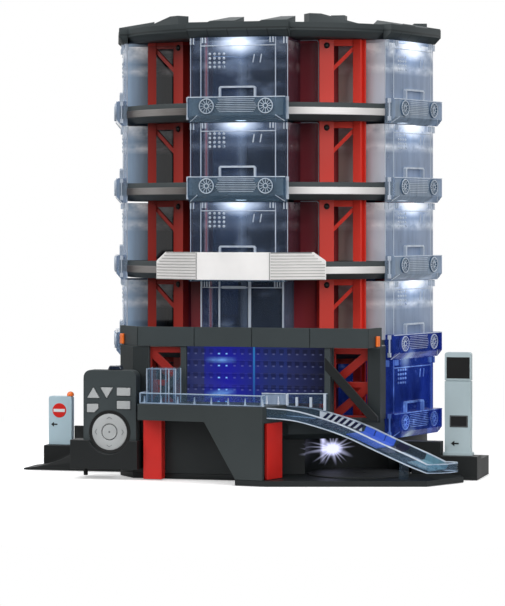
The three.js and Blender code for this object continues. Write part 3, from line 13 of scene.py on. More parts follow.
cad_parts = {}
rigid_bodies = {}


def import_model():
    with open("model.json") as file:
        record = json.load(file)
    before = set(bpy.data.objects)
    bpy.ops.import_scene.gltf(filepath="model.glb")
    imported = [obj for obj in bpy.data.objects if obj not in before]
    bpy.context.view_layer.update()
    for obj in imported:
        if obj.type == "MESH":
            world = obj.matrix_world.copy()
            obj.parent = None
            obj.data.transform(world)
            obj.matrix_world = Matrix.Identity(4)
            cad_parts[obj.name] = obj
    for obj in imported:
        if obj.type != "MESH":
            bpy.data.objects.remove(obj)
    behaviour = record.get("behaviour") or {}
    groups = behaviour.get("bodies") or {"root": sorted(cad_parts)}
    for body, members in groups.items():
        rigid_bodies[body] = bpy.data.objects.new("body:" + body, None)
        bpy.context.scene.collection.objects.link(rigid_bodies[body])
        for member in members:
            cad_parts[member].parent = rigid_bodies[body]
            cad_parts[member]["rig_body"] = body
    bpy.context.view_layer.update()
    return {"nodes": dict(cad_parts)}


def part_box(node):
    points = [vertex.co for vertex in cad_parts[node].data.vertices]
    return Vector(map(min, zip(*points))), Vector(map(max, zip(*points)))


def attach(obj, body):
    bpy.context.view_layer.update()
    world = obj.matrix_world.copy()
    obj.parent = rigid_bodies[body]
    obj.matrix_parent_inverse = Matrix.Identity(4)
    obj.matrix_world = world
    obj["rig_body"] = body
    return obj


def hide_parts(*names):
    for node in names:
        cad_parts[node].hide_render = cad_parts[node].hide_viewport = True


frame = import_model()

bl_info = {
    "name": "Toy Parking Garage",
    "version": (1, 0, 0),
    "blender": (4, 5, 0),
    "location": "View3D > Sidebar > Garage",
    "description": "Builds the finish of a toy parking garage with a lift",
    "category": "Add Mesh",
}

MM = 0.001
COLUMN_TURN = 72
LEVELS = range(1, 6)
FRONT = Vector((0, -1, 0))
UP = Vector((0, 0, 1))


def extent(node):
    """A node's lowest and highest corners in millimetres."""
    low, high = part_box(node)
    return low / MM, high / MM


# Driving sizes of the model
FLOOR_DROP = 13
FLOOR_TOP = 3.7
BOLT_LINES = {level: extent(f"floor_{level}")[0].z + FLOOR_DROP for level in LEVELS}
LEVEL_PITCH = BOLT_LINES[2] - BOLT_LINES[1]
ROOF_UNDERSIDE = 417.5
RECESS_HALF = 47.9
CASE_HALF = 47.3
WINDOW_HALF = 36.4
WINDOW_FRONT = 154
FLANK_FRONT = 151
CASE_BACK = 98.8
CASE_WALL = 1.8
PLATE_HALF = 47.5
PLATE_FRONT = 161
PLATE_LIP = 150.2
GRIP_HALF = 18
MEDALLION_X = 28.7
MEDALLION_RADIUS = 7.7
POST_FACE = 125.7


def ceiling(level):
    """The height under the next floor or the roof."""
    return ROOF_UNDERSIDE if level == LEVELS[-1] else BOLT_LINES[level + 1] - FLOOR_DROP


# Colours and sizes that a user would change


def linear(code):
    """An sRGB code such as 3c4344 as a scene linear colour."""
    shades = [int(code[start : start + 2], 16) / 255 for start in (0, 2, 4)]
    light = [s / 12.92 if s <= 0.04045 else ((s + 0.055) / 1.055) ** 2.4 for s in shades]
    return (*light, 1.0)


def colour(name, description, code):
    """A colour that the panel shows."""
    return bpy.props.FloatVectorProperty(
        name=name,
        description=description,
        default=linear(code),
        subtype="COLOR",
        size=4,
        min=0,
        max=1,
    )


def share(name, description, default, top=1.0):
    """A plain number that the panel shows."""
    return bpy.props.FloatProperty(
        name=name, description=description, default=default, min=0, max=top
    )


def length(name, description, default):
    """A length in metres that the panel shows."""
    return bpy.props.FloatProperty(
        name=name, description=description, default=default, min=0, unit="LENGTH", precision=5
    )


class GarageColours(bpy.types.PropertyGroup):
    """Colours of the garage's finishes."""

    charcoal: colour("Charcoal", "Floors, portal and roof", "363d3f")
    dark: colour("Dark plastic", "Base, mast and dock", "131617")
    red: colour("Frame red", "Bay frames and brace panels", "d2372b")
    bright_red: colour("Bright red", "Columns under the deck", "c0221c")
    clear: colour("Clear plastic", "Cases, rail and slope", "b9cbe4")
    # Edge colour: a paler, more solid copy of the clear plastic, for painted highlights on corners
    # and ribs
    edge: colour("Clear edges", "Corners and ribs of the clear pieces", "dfe9f6")
    steel: colour("Medallion", "Raised discs on the clear plates", "5f7f98")
    lamp: colour("Cell light", "Glow of the cell lamps", "f6f5f0")
    # Colours of the painted blue glow in the lower cells and the lobby
    blue: colour("Blue light", "Lit lower cells and the lobby", "2a4396")
    cyan: colour("Blue edges", "Corners of the lit lower cells", "7fa6ee")
    smoke: colour("Smoke", "Rear columns and the lens on the remote control", "222a3a")
    silver: colour("Silver", "Sign board and floor stripes", "f1efee")
    grey: colour("Grey plastic", "Keys, gears and tray", "a4a7a8")
    entry: colour("Entry sign", "Tall sign on the entry wing", "a9b9be")
    exit: colour("Exit sign", "Squat sign at the exit", "b6ced9")
    amber: colour("Amber", "Collar lamps and the sign's lamp", "e8702a")
    stop: colour("Stop disc", "Disc on the exit sign", "d8221a")
    ground: colour("Ground", "Studio floor", "ffffff")


class GarageSizes(bpy.types.PropertyGroup):
    """Small sizes of the garage's finishing."""

    edge: length("Edge round", "Rounded edge of the moulded pieces", 0.0004)
    thick_edge: length("Heavy edge round", "Rounded edge of the base and the remote", 0.0009)
    fine_edge: length("Fine edge round", "Rounded edge of the clear pieces", 0.00025)
    grain: length("Grain depth", "Depth of the moulded grain", 0.00006)
    band_steps: bpy.props.IntProperty(
        name="Band steps",
        description="Segments of a whole round band",
        default=180,
        min=30,
        max=720,
    )


class GarageLights(bpy.types.PropertyGroup):
    """Strength of the studio's and the garage's own lights."""

    key: share("Key light", "Large soft lamp at the front left, in watts", 28, 500)
    fill: share("Fill light", "Large soft lamp at the front right, in watts", 24, 500)
    top: share("Top light", "Large soft lamp above, in watts", 20, 500)
    surround: share("Surround", "Strength of the light from all sides", 0.34, 4)
    lobby: share("Lobby light", "Emission of the lobby doors", 0.72, 20)


def colours(name):
    """A colour of the panel by its name, or any other by its sRGB code."""
    chosen = getattr(bpy.context.scene.garage_colours, name, None)
    return linear(name) if chosen is None else tuple(chosen)


def sizes():
    """The panel's small sizes."""
    return bpy.context.scene.garage_sizes


def lights():
    """The panel's lights."""
    return bpy.context.scene.garage_lights


# Shader maths


class Wire:
    """A shader socket that takes part in sums: every operator adds one Math node."""

    def __init__(self, paint, socket):
        self.paint, self.socket = paint, socket

    def maths(self, operation, *values):
        return self.paint.node("Math", {"operation": operation}, dict(enumerate(values)))

    def __add__(self, other):
        return self.maths("ADD", self, other)

    def __sub__(self, other):
        return self.maths("SUBTRACT", self, other)

    def __rsub__(self, other):
        return self.maths("SUBTRACT", other, self)

    def __mul__(self, other):
        return self.maths("MULTIPLY", self, other)

    def __truediv__(self, other):
        return self.maths("DIVIDE", self, other)

    def __pow__(self, other):
        return self.maths("POWER", self, other)

    def __abs__(self):
        return self.maths("ABSOLUTE", self)

    def at_least(self, floor):
        return self.maths("MAXIMUM", self, floor)

    def at_most(self, top):
        return self.maths("MINIMUM", self, top)

    def below(self, limit):
        return self.maths("LESS_THAN", self, limit)

    def above(self, limit):
        return self.maths("GREATER_THAN", self, limit)

    def cycle(self, pitch):
        return self.maths("FLOORED_MODULO", self, pitch)

    def clamped(self):
        """Kept between 0 and 1."""
        return self.at_least(0.0).at_most(1.0)

    def peak(self, middle, reach):
        """From 1 at a middle value down to 0 at a reach on both sides of it."""
        return (1.0 - abs(self - middle) / reach).at_least(0.0)

    __radd__ = __add__
    __rmul__ = __mul__


class Paint:
    """A node tree in the making, for a material or the world."""

    def __init__(self, owner):
        owner.use_nodes = True
        self.owner, self.tree = owner, owner.node_tree
        self.tree.nodes.clear()

    @classmethod
    def on(cls, name, turn=0):
        """A new material on the Object coordinates of its piece, turned to a column."""
        paint = cls(bpy.data.materials.new(name))
        paint.place = paint.node("TexCoord", out="Object")
        if turn:
            rotation = (0, 0, math.radians(-turn))
            values = {"Vector": paint.place, "Rotation": rotation}
            paint.place = paint.node("Mapping", values=values)
        return paint

    def node(self, kind, settings=None, values=None, out=0):
        """Adds one node: its settings first, then the values or wires of its sockets."""
        made = self.tree.nodes.new("ShaderNode" + kind)
        for name, value in (settings or {}).items():
            setattr(made, name, value)
        for key, value in (values or {}).items():
            if isinstance(value, Wire):
                self.tree.links.new(value.socket, made.inputs[key])
            else:
                made.inputs[key].default_value = value
        return Wire(self, made.outputs[out])

    def axes(self):
        """The X, Y and Z of the place on the piece, in millimetres."""
        parts = {0: self.place}
        return [self.node("SeparateXYZ", values=parts, out=axis) / MM for axis in range(3)]

    def noise(self, scale, detail=2.0, stretch=None):
        """Soft noise from 0 to 1 with a scale in patches a metre."""
        place = self.place
        if stretch:
            place = self.node("Mapping", values={"Vector": place, "Scale": stretch})
        return self.node("TexNoise", values={"Vector": place, "Scale": scale, "Detail": detail})

    def facing(self, blend):
        """From 0 where the surface is faced to 1 at its rim."""
        return self.node("LayerWeight", values={"Blend": blend}, out="Facing")

    def blend(self, factor, first, second):
        """A colour between two."""
        return self.node("Mix", {"data_type": "RGBA"}, {0: factor, 6: first, 7: second}, out=2)

    def bump(self, height, distance, strength=0.4):
        """A Normal from a height, at a depth in metres."""
        values = {"Height": height, "Distance": distance, "Strength": strength}
        return self.node("Bump", values=values)

    def surface(self, **values):
        """The Principled shader with the values of its sockets."""
        named = {name.replace("_", " "): value for name, value in values.items()}
        return self.node("BsdfPrincipled", values=named)

    def through(self, tint, body, shader):
        """The shader over clear plastic of a tint, as solid as its body."""
        clear = self.node("BsdfTransparent", values={0: tint})
        return self.node("MixShader", values={0: body.clamped(), 1: clear, 2: shader})

    def done(self, shader, end="OutputMaterial"):
        """Links the shader to the output and hands the owner back."""
        output = self.tree.nodes.new("ShaderNode" + end)
        self.tree.links.new(shader.socket, output.inputs["Surface"])
        return self.owner

    def finished(self, **values):
        """The whole material of one Principled shader."""
        return self.done(self.surface(**values))


def scaled(tone, factor):
    """A colour made lighter or darker."""
    return tuple(min(part * factor, 1.0) for part in tone[:3]) + (1.0,)


def span_of(first, second):
    """The length of two parts at right angles."""
    return (first * first + second * second) ** 0.5


def bearing(across, depth):
    """The turn of a place about the lift's axis, from 0 at the front."""
    return across.maths("ARCTAN2", across, 0.0 - depth)


# Finishes: their sizes are in millimetres, as the axes are

BLACK = (0, 0, 0, 1)
DUST = linear("c4c6c8")
PATCH_SCALE = 28
GRAIN_SCALE = 2600


def moulded_plastic(name, tone, roughness=0.45, grain=1.0, gloss=0.22, painted_shade=None):
    """Satin moulded plastic: fine grain, faint flow patches, pale dust on what faces up, and any
    painted shade.
    """
    paint = Paint.on(name)
    tone = colours(tone)
    patches = paint.noise(PATCH_SCALE, 3.0)
    fine = paint.noise(GRAIN_SCALE, 2.0)
    normal = paint.node("NewGeometry", out="Normal")
    upward = paint.node("SeparateXYZ", values={0: normal}, out=2).at_least(0.0)
    base = paint.blend(patches, scaled(tone, 0.86), scaled(tone, 1.14))
    if painted_shade:
        base = painted_shade(paint, tone, base)
    return paint.finished(
        Base_Color=paint.blend(upward * 0.04, base, DUST),
        Roughness=patches * 0.14 + (roughness - 0.05) + fine * 0.04,
        Specular_IOR_Level=gloss,
        Normal=paint.bump(fine, sizes().grain * grain),
    )


FRAME_SPREAD = 95.0
FRAME_FOLD = 119.0


def frame_painted_shade(paint, tone, _):
    """Painted shade on the frames: dark crimson on the folded walls, darker under each floor and on
    the left of the tower.
    """
    across, depth, height = paint.axes()
    drop = (ceiling(1) - height).cycle(LEVEL_PITCH) / LEVEL_PITCH
    side = ((across + FRAME_SPREAD) / (2 * FRAME_SPREAD)).clamped()
    level = (side * 0.8 + drop * 0.3).at_most(1.0)
    # Painted light and shade: darker under each ceiling and on the left, brighter on the right
    lit = paint.blend(level, scaled(tone, 0.34), scaled(tone, 1.25))
    # Painted shade on the folded walls inside: dark crimson, darkest under each ceiling
    folded = paint.blend(drop, linear("5c1a22"), linear("a03a42"))
    return paint.blend(span_of(across, depth).below(FRAME_FOLD) * 0.85, lit, folded)


WALL_ENDS = (-85.5, 118.5)
WALL_SHADE_TOP = 124.5
DECK_SHADE_TOP = 57.4


def low_painted_shade(paint, tone, base):
    """Painted shade: darker below the deck and at the wall's outer ends."""
    across, _, height = paint.axes()
    outer = across.below(WALL_ENDS[0]) + across.above(WALL_ENDS[1])
    ends = height.below(WALL_SHADE_TOP) * outer
    shadow = (height.below(DECK_SHADE_TOP) + ends * 0.75).at_most(1.0)
    return paint.blend(shadow, base, scaled(tone, 0.34))


GROOVE_LINE = 425.6
GROOVE_PITCH = 19.5
GROOVE_REACH = 50


def roof_painted_grooves(paint, tone, base):
    """Painted shade of a fine groove round the eaves and of short upright grooves below it on the
    columns.
    """
    across, depth, height = paint.axes()
    angle = math.tau / 5
    turn = (bearing(across, depth) + angle / 2).cycle(angle) - angle / 2
    local = abs(across.maths("SINE", turn) * span_of(across, depth))
    uprights = abs(local.cycle(GROOVE_PITCH) - GROOVE_PITCH / 2).below(0.55)
    uprights = uprights * local.below(GROOVE_REACH) * height.below(GROOVE_LINE - 0.4)
    groove = abs(height - GROOVE_LINE).below(0.75) + uprights
    return paint.blend(groove.at_most(1.0) * 0.7, base, scaled(tone, 0.3))


def brushed_silver(name):
    """Silver stripe: fine lines along its length, with painted reflection that dims and browns it
    at the ends of a bay, and painted shade on the left.
    """
    paint = Paint.on(name)
    across, depth, _ = paint.axes()
    lines = paint.noise(60, 3.0, (1.0, 1.0, 60.0))
    columns = bearing(across, depth) / math.radians(COLUMN_TURN)
    # Painted reflection towards a bay's ends and painted shade on the left, both towards dark brown
    away = (abs(columns.cycle(1.0) - 0.5) * 3.6).at_most(1.0) ** 2.0
    left = (0.25 - across / 160.0).at_least(0.0).at_most(0.72)
    level = (away * 0.45 + lines * 0.16 + left).at_most(1.0)
    return paint.finished(
        Base_Color=paint.blend(level, colours("silver"), linear("4a4441")),
        Metallic=0.1,
        Roughness=lines * 0.12 + 0.3,
        Specular_IOR_Level=0.3,
        Normal=paint.bump(lines, sizes().grain * 0.4, 0.2),
    )


def halo_of(across, height, reach):
    """From 1 at a cell's lamp down to 0 at a reach, over every level."""
    half = LEVEL_PITCH / 2
    drop = abs((height - ceiling(1) + 2 + half).cycle(LEVEL_PITCH) - half)
    return (1.0 - span_of(across, drop) / reach).at_least(0.0)


def clear_plastic(
    name, tone, tint, body, rim, turn=0, glow=0.0, painted_flank=None, cloud=0.0, pane=0.0
):
    """Clear plastic: see-through when faced, milky at its rim, with a painted glow near the place
    of a cell's lamp.

    A painted flank gives the near and far colours of the side walls' painted light and shade,
    the power between them and a thickness; cloud is the strength of painted white reflections,
    pane that of a window's painted highlight streaks and clouds and of a dark red strip.
    """
    paint = Paint.on(name, turn)
    tone = colours(tone)
    across, depth, height = paint.axes()
    front = 0.0 - depth
    drop = (ceiling(1) - height).cycle(LEVEL_PITCH)
    streaks = paint.noise(24, 2.0, (6.0, 6.0, 1.0))
    base = paint.blend(streaks, scaled(tone, 0.8), scaled(tone, 1.1))
    solid = (paint.facing(0.35) ** 2.0) * rim + body * 0.7 + streaks * (body * 0.6)
    if painted_flank:
        # Painted light and shade on the side walls: the near colour at the bay, the far one at the
        # front
        near, far, power, thick = painted_flank
        side = abs(across).above(CASE_HALF - 2.2) * front.below(FLANK_FRONT - 0.5)
        along = ((front - CASE_BACK) / (FLANK_FRONT - CASE_BACK)).at_least(0.0) ** power
        level = (along * (0.75 + streaks * 0.5)).at_most(1.0)
        base = paint.blend(side, base, paint.blend(level, linear(near), linear(far)))
        solid = solid + side * thick
    if pane:
        # Painted highlights: a milky streak down the middle and white clouds; a dark red strip on
        # the left
        clouds = (paint.noise(30, 3.0, (1.0, 1.0, 2.0)) - 0.55).at_least(0.0) * 2.4
        solid = solid + (across.peak(3.0, 6.0) * 0.12 + clouds * 0.3) * pane
        strip = across.peak(-31.0, 2.2) * pane
        base = paint.blend(strip, base, linear("8a2a3a"))
        solid = solid + strip * 0.6
    if cloud:
        # Painted reflections: white clouds under each ceiling and in a band below it
        puffs = (paint.noise(70, 3.0, (1.0, 1.0, 1.6)) * 2.4 - 0.7).at_least(0.0)
        high = drop.peak(0.0, 17.0) * 1.3 + drop.peak(24.0, 6.0) * 0.6
        puff = (high * puffs * cloud).at_most(1.0)
        base = paint.blend(puff, base, (0.95, 0.97, 1.0, 1))
        solid = solid + puff * 0.8
    values = {
        "Base_Color": base,
        "Roughness": streaks * 0.06 + 0.05,
        "Specular_IOR_Level": 0.5,
    }
    if glow:
        # Painted glow: a white spot and a blue haze round the place of a cell's lamp
        spot = halo_of(across * 0.55, height, 15) ** 1.4
        haze = halo_of(across * 0.8, height, 42) ** 2.0
        lit = paint.blend(haze, BLACK, linear("5f7fa8"))
        values["Emission_Color"] = paint.blend(spot, lit, colours("lamp"))
        values["Emission_Strength"] = glow
        solid = solid + spot * 0.9 + haze * 0.22
    return paint.done(paint.through(tint, solid, paint.surface(**values)))


def blue_case(name, edge=False):
    """Clear plastic of a cell of the right column, with a painted blue glow from inside, a bright
    spot and glints.
    """
    paint = Paint.on(name, COLUMN_TURN)
    across, _, height = paint.axes()
    clouds = paint.noise(46, 4.0, (2.0, 2.0, 1.0))
    sparks = (paint.noise(150, 1.0) - 0.62).at_least(0.0) * 5.0
    spot = halo_of(across + 14.0, height, 13) ** 1.3
    haze = halo_of(across + 10.0, height, 55)
    level = ((clouds - 0.35) * 1.3 + haze * 0.45 + sparks * haze).clamped()
    # Corners and ribs take the brighter cyan copy, a painted highlight
    tone = scaled(colours("cyan" if edge else "blue"), 1.25)
    deep = paint.blend(level, linear("1a2a66"), tone)
    lit = (spot + sparks * haze * 0.5).at_most(1.0)
    shader = paint.surface(
        Base_Color=deep,
        Roughness=0.08,
        Emission_Color=paint.blend(lit, deep, (0.6, 0.82, 1.0, 1)),
        Emission_Strength=0.5 if edge else 0.35,
        Specular_IOR_Level=0.5,
    )
    body = 0.5 if edge else 0.3
    solid = (paint.facing(0.4) ** 2.0) * 0.4 + body + level * 0.25 + spot
    return paint.done(paint.through((0.3, 0.42, 0.85, 1), solid, shader))


LOBBY_LIT = (-33.5, 47.5)
LOBBY_GLOW = (-11.4, 42.0)
LOBBY_SEAM = 15.5
FACET = (7.6, 11.3)


def lobby_screen(name):
    """Dark navy panes with a grid of facets, with a painted blue glow in the middle and along the
    doors' seam, and painted glints and reflections.
    """
    paint = Paint.on(name)
    across, _, height = paint.axes()
    cell_x = abs((across / FACET[0]).cycle(1.0) - 0.5)
    cell_z = (height / FACET[1]).cycle(1.0)
    marks = cell_x.below(0.3) * cell_z.above(0.55) * cell_z.below(0.9)
    glints = cell_x.below(0.14) * cell_z.above(0.42) * cell_z.below(0.54)
    # Painted blue glow over the middle of the doors
    lit = across.above(LOBBY_LIT[0]) * across.below(LOBBY_LIT[1])
    near = across.peak(*LOBBY_GLOW)
    right = ((across - 40.0) / 50.0).clamped()
    plain = paint.blend(right, linear("293062"), linear("12141f"))
    glow = paint.blend(near, linear("232e66"), linear("1d1d9a"))
    tone = paint.blend(lit, plain, glow)
    tone = paint.blend(marks * (0.45 - near * 0.3), tone, (0.003, 0.003, 0.01, 1))
    # Painted glints in the facets
    tone = paint.blend(glints * 0.14, tone, (0.4, 0.45, 0.8, 1))
    # Painted reflections: bright spots and cloudy bands
    spots = abs(across + 16.0).below(5.2) * cell_x.below(0.16) * glints
    bands = height.peak(112.5, 3.5) + (height - across * 0.12).peak(83.0, 4.5)
    clouds = bands * across.peak(-17.0, 16.0) * paint.noise(170, 3.0) * 1.3
    tone = paint.blend((spots + clouds).at_most(1.0), tone, (0.22, 0.5, 1.0, 1))
    # Painted glow along the doors' seam
    seam = across.peak(LOBBY_SEAM, 1.3) * ((height - 60.0) / 60.0).at_least(0.0)
    tone = paint.blend(seam.at_most(1.0), tone, (0.03, 0.26, 0.62, 1))
    return paint.finished(
        Base_Color=paint.blend(0.7, tone, BLACK),
        Roughness=0.2,
        Specular_IOR_Level=0.15,
        Emission_Color=tone,
        Emission_Strength=lights().lobby,
        Normal=paint.bump(marks, 0.0003, 0.4),
    )


def lamp_glow(name, tone, strength):
    """A small lit lens, whitest in its middle."""
    paint = Paint.on(name)
    tone = colours(tone)
    ripple = paint.noise(900, 1.0)
    lit = paint.blend(paint.facing(0.5) * 0.8 + ripple * 0.1, tone, scaled(tone, 0.6))
    return paint.finished(
        Base_Color=lit, Roughness=0.2, Emission_Color=lit, Emission_Strength=strength
    )


def glossy_lens(name, tone):
    """A dark lens with a glossy skin."""
    paint = Paint.on(name)
    tone = colours(tone)
    cloud = paint.noise(120, 2.0)
    return paint.finished(
        Base_Color=paint.blend(cloud, scaled(tone, 0.7), scaled(tone, 1.6)),
        Roughness=cloud * 0.06 + 0.04,
        Coat_Weight=1.0,
        Coat_Roughness=0.03,
    )


BAY_LIGHT = (76, 25)
BAY_DEPTHS = (50, 150)


def lit_base(name):
    """The base's dark plastic, with a painted starburst glow round the lamp of the display bay."""
    paint = Paint.on(name)
    tone = colours("dark")
    across, depth, height = paint.axes()
    front = 0.0 - depth
    patches = paint.noise(PATCH_SCALE, 3.0)
    # Painted glow: a halo of rays, an upward beam and a bright core where the bay's lamp is
    side, rise = across - BAY_LIGHT[0], height - BAY_LIGHT[1]
    away = (side * side + rise * rise * 1.6) ** 0.5
    angle = side.maths("ARCTAN2", side, rise)
    sway = side.maths("SINE", angle * 5.0) * 2.0
    rays = (side.maths("SINE", angle * 17.0 + sway) * 0.5 + 0.5) ** 2.0
    halo = (1.0 - away / (rays * 10.0 + 12.0)).at_least(0.0) ** 1.6
    beam = side.peak(-7.5, 2.4) * rise.peak(8.0, 22.0)
    core = (1.3 - away / 7.0).at_least(0.0)
    inside = front.above(BAY_DEPTHS[0]) * front.below(BAY_DEPTHS[1])
    light = ((halo * 0.8 + beam * 0.7 + core) * inside).at_most(1.0)
    return paint.finished(
        Base_Color=paint.blend(patches, scaled(tone, 1.4), scaled(tone, 1.9)),
        Roughness=patches * 0.14 + 0.4,
        Specular_IOR_Level=0.2,
        Emission_Color=paint.blend(light, BLACK, (0.66, 0.68, 1.0, 1)),
        Emission_Strength=1.4,
        Normal=paint.bump(paint.noise(GRAIN_SCALE, 2.0), sizes().grain),
    )


FRONT_TINT = (0.5, 0.63, 0.84, 1)
RIGHT_TINT = (0.8, 0.86, 0.96, 1)
LEFT_TINT = (0.6, 0.72, 0.84, 1)
PLAIN_TINT = (0.84, 0.89, 0.94, 1)
PLATE_TINT = (0.6, 0.7, 0.8, 1)
STEEL_TINT = (0.4, 0.5, 0.62, 1)
MAUVE_TINT = (0.95, 0.8, 0.84, 1)
SMOKE_TINT = (0.14, 0.17, 0.25, 1)
# Near and far colours, power and thickness of the side walls' painted light and shade
CRIMSON_FLANK = ("3c2029", "6d4450", 1.0, 0.55)
PALE_FLANK = ("b3b2a8", "bcc2d0", 0.8, 0.84)
DEEP_FLANK = ("070b0f", "93aecb", 2.6, 0.95)

# Tone, roughness, grain, gloss and painted shade of each moulded plastic
MOULDED = {
    "charcoal": ("charcoal", 0.48),
    "roof": ("charcoal", 0.48, 1.0, 0.22, roof_painted_grooves),
    "portal": ("charcoal", 0.48, 1.0, 0.22, low_painted_shade),
    "deck": ("2f3536", 0.48),
    "dark": ("dark", 0.5),
    "red": ("red", 0.36, 0.5, 0.25, frame_painted_shade),
    "brace_red": ("96231c", 0.36, 0.5, 0.25),
    "bright_red": ("bright_red", 0.34, 0.4, 0.3),
    "grey": ("grey", 0.42, 0.6, 0.3),
    "ring_mark": ("6f7375", 0.5, 0.3),
    "entry": ("entry", 0.4, 0.4, 0.3),
    "exit": ("exit", 0.4, 0.4, 0.3),
    "black": ("0b0c0d", 0.32, 0.3, 0.3),
    "white": ("e6e9ea", 0.35, 0.3, 0.3),
    "stop": ("stop", 0.3, 0.2, 0.3),
    "silver": ("silver", 0.3, 0.3, 0.3),
    "silver_line": ("b4b3b1", 0.3, 0.3, 0.3),
    "slat": ("0c1030", 0.2, 0.2, 0.4),
    "slat_blue": ("3c60c8", 0.2, 0.2, 0.4),
}

# Tone, tint, body, rim, column's turn, painted glow, painted flank, painted clouds and painted pane
# highlights of each clear plastic
CLEAR = {
    # The right column's copy is paler and the left's darker: lit and shaded copies of one clear
    # plastic
    "clear_front": ("clear", FRONT_TINT, 0.05, 0.4, 0, 1.0, CRIMSON_FLANK, 0.25, 1.0),
    "clear_right": ("clear", RIGHT_TINT, 0.36, 0.5, COLUMN_TURN, 1.2, PALE_FLANK, 1.3),
    "clear_left": ("clear", LEFT_TINT, 0.22, 0.5, -COLUMN_TURN, 0.4, DEEP_FLANK, 0.9),
    "clear_plain": ("8fa6b8", PLAIN_TINT, 0.08, 0.35),
    "mauve": ("8d5560", MAUVE_TINT, 0.14, 0.3),
    "clear_cover": ("clear", FRONT_TINT, 0.05, 0.4, 0, 0.0, None, 0.0, 1.0),
    "clear_plate": ("7f9ab0", PLATE_TINT, 0.3, 0.5),
    "pale_plate": ("a9bccf", RIGHT_TINT, 0.4, 0.5),
    "clear_rear": ("smoke", SMOKE_TINT, 0.5, 0.3),
    # Edge finishes: paler, more solid copies that paint the highlights of corners and ribs
    "smoke_edge": ("5a6a80", SMOKE_TINT, 0.7, 0.3),
    "clear_edge": ("edge", PLAIN_TINT, 0.66, 0.3),
    "slope_clear": ("6d859a", PLAIN_TINT, 0.1, 0.16),
    "slat_teal": ("6d9aac", PLAIN_TINT, 0.6, 0.4),
    "steel": ("steel", STEEL_TINT, 0.4, 0.5),
}

FINISHES = {
    "stripe": (brushed_silver,),
    "blue_case": (blue_case,),
    "blue_edge": (blue_case, True),
    "lobby": (lobby_screen,),
    "cell_lamp": (lamp_glow, "lamp", 6.0),
    "amber": (lamp_glow, "amber", 0.25),
    "smoke": (glossy_lens, "smoke"),
    "lit_base": (lit_base,),
}
FINISHES.update({name: (moulded_plastic, *values) for name, values in MOULDED.items()})
FINISHES.update({name: (clear_plastic, *values) for name, values in CLEAR.items()})


def finish(name):
    """The named finish, made once."""
    if name not in bpy.data.materials:
        maker, *values = FINISHES[name]
        maker(name, *values)
    return bpy.data.materials[name]


# Shapes


def smooth(points, steps=6):
    """A list of points made into a smooth curve through them."""
    points = [Vector(point) for point in points]
    line = []
    for index in range(len(points) - 1):
        before, start = points[max(index - 1, 0)], points[index]
        end, after = points[index + 1], points[min(index + 2, len(points) - 1)]
        for step in range(steps):
            t = step / steps
            bend = (2 * before - 5 * start + 4 * end - after) * t * t
            twist = (3 * start - before - 3 * end + after) * t**3
            line.append((2 * start + (end - before) * t + bend + twist) / 2)
    return line + [points[-1]]


def left_of(start, end):
    """The unit vector to the left of a way in plan."""
    way = (Vector(end) - Vector(start)).normalized()
    return Vector((-way.y, way.x))


def inset(line, thickness):
    """A plan line moved to its left."""
    moved = []
    for index, point in enumerate(line):
        normals = []
        if index:
            normals.append(left_of(line[index - 1], point))
        if index < len(line) - 1:
            normals.append(left_of(point, line[index + 1]))
        whole = sum(normals, Vector((0, 0)))
        moved.append(Vector(point) + whole * (thickness * len(normals) / whole.length_squared))
    return moved


def walled(line, thickness):
    """The outline of a wall along a plan line, with its thickness on the left."""
    return [Vector(point) for point in line] + inset(line, thickness)[::-1]


def plan(points, height):
    """Plan points lifted to a height."""
    return [(x, y, height) for x, y in points]


def upright(points, depth):
    """Points drawn across and up, stood at a depth."""
    return [(x, depth, z) for x, z in points]


def rectangle(left, right, bottom, top):
    """The corners of a rectangle drawn across and up."""
    return [(left, bottom), (right, bottom), (right, top), (left, top)]


def turned(degrees, lift=0):
    """A turn about the lift's axis and a lift."""
    return Matrix.Translation((0, 0, lift)) @ Matrix.Rotation(math.radians(degrees), 4, "Z")


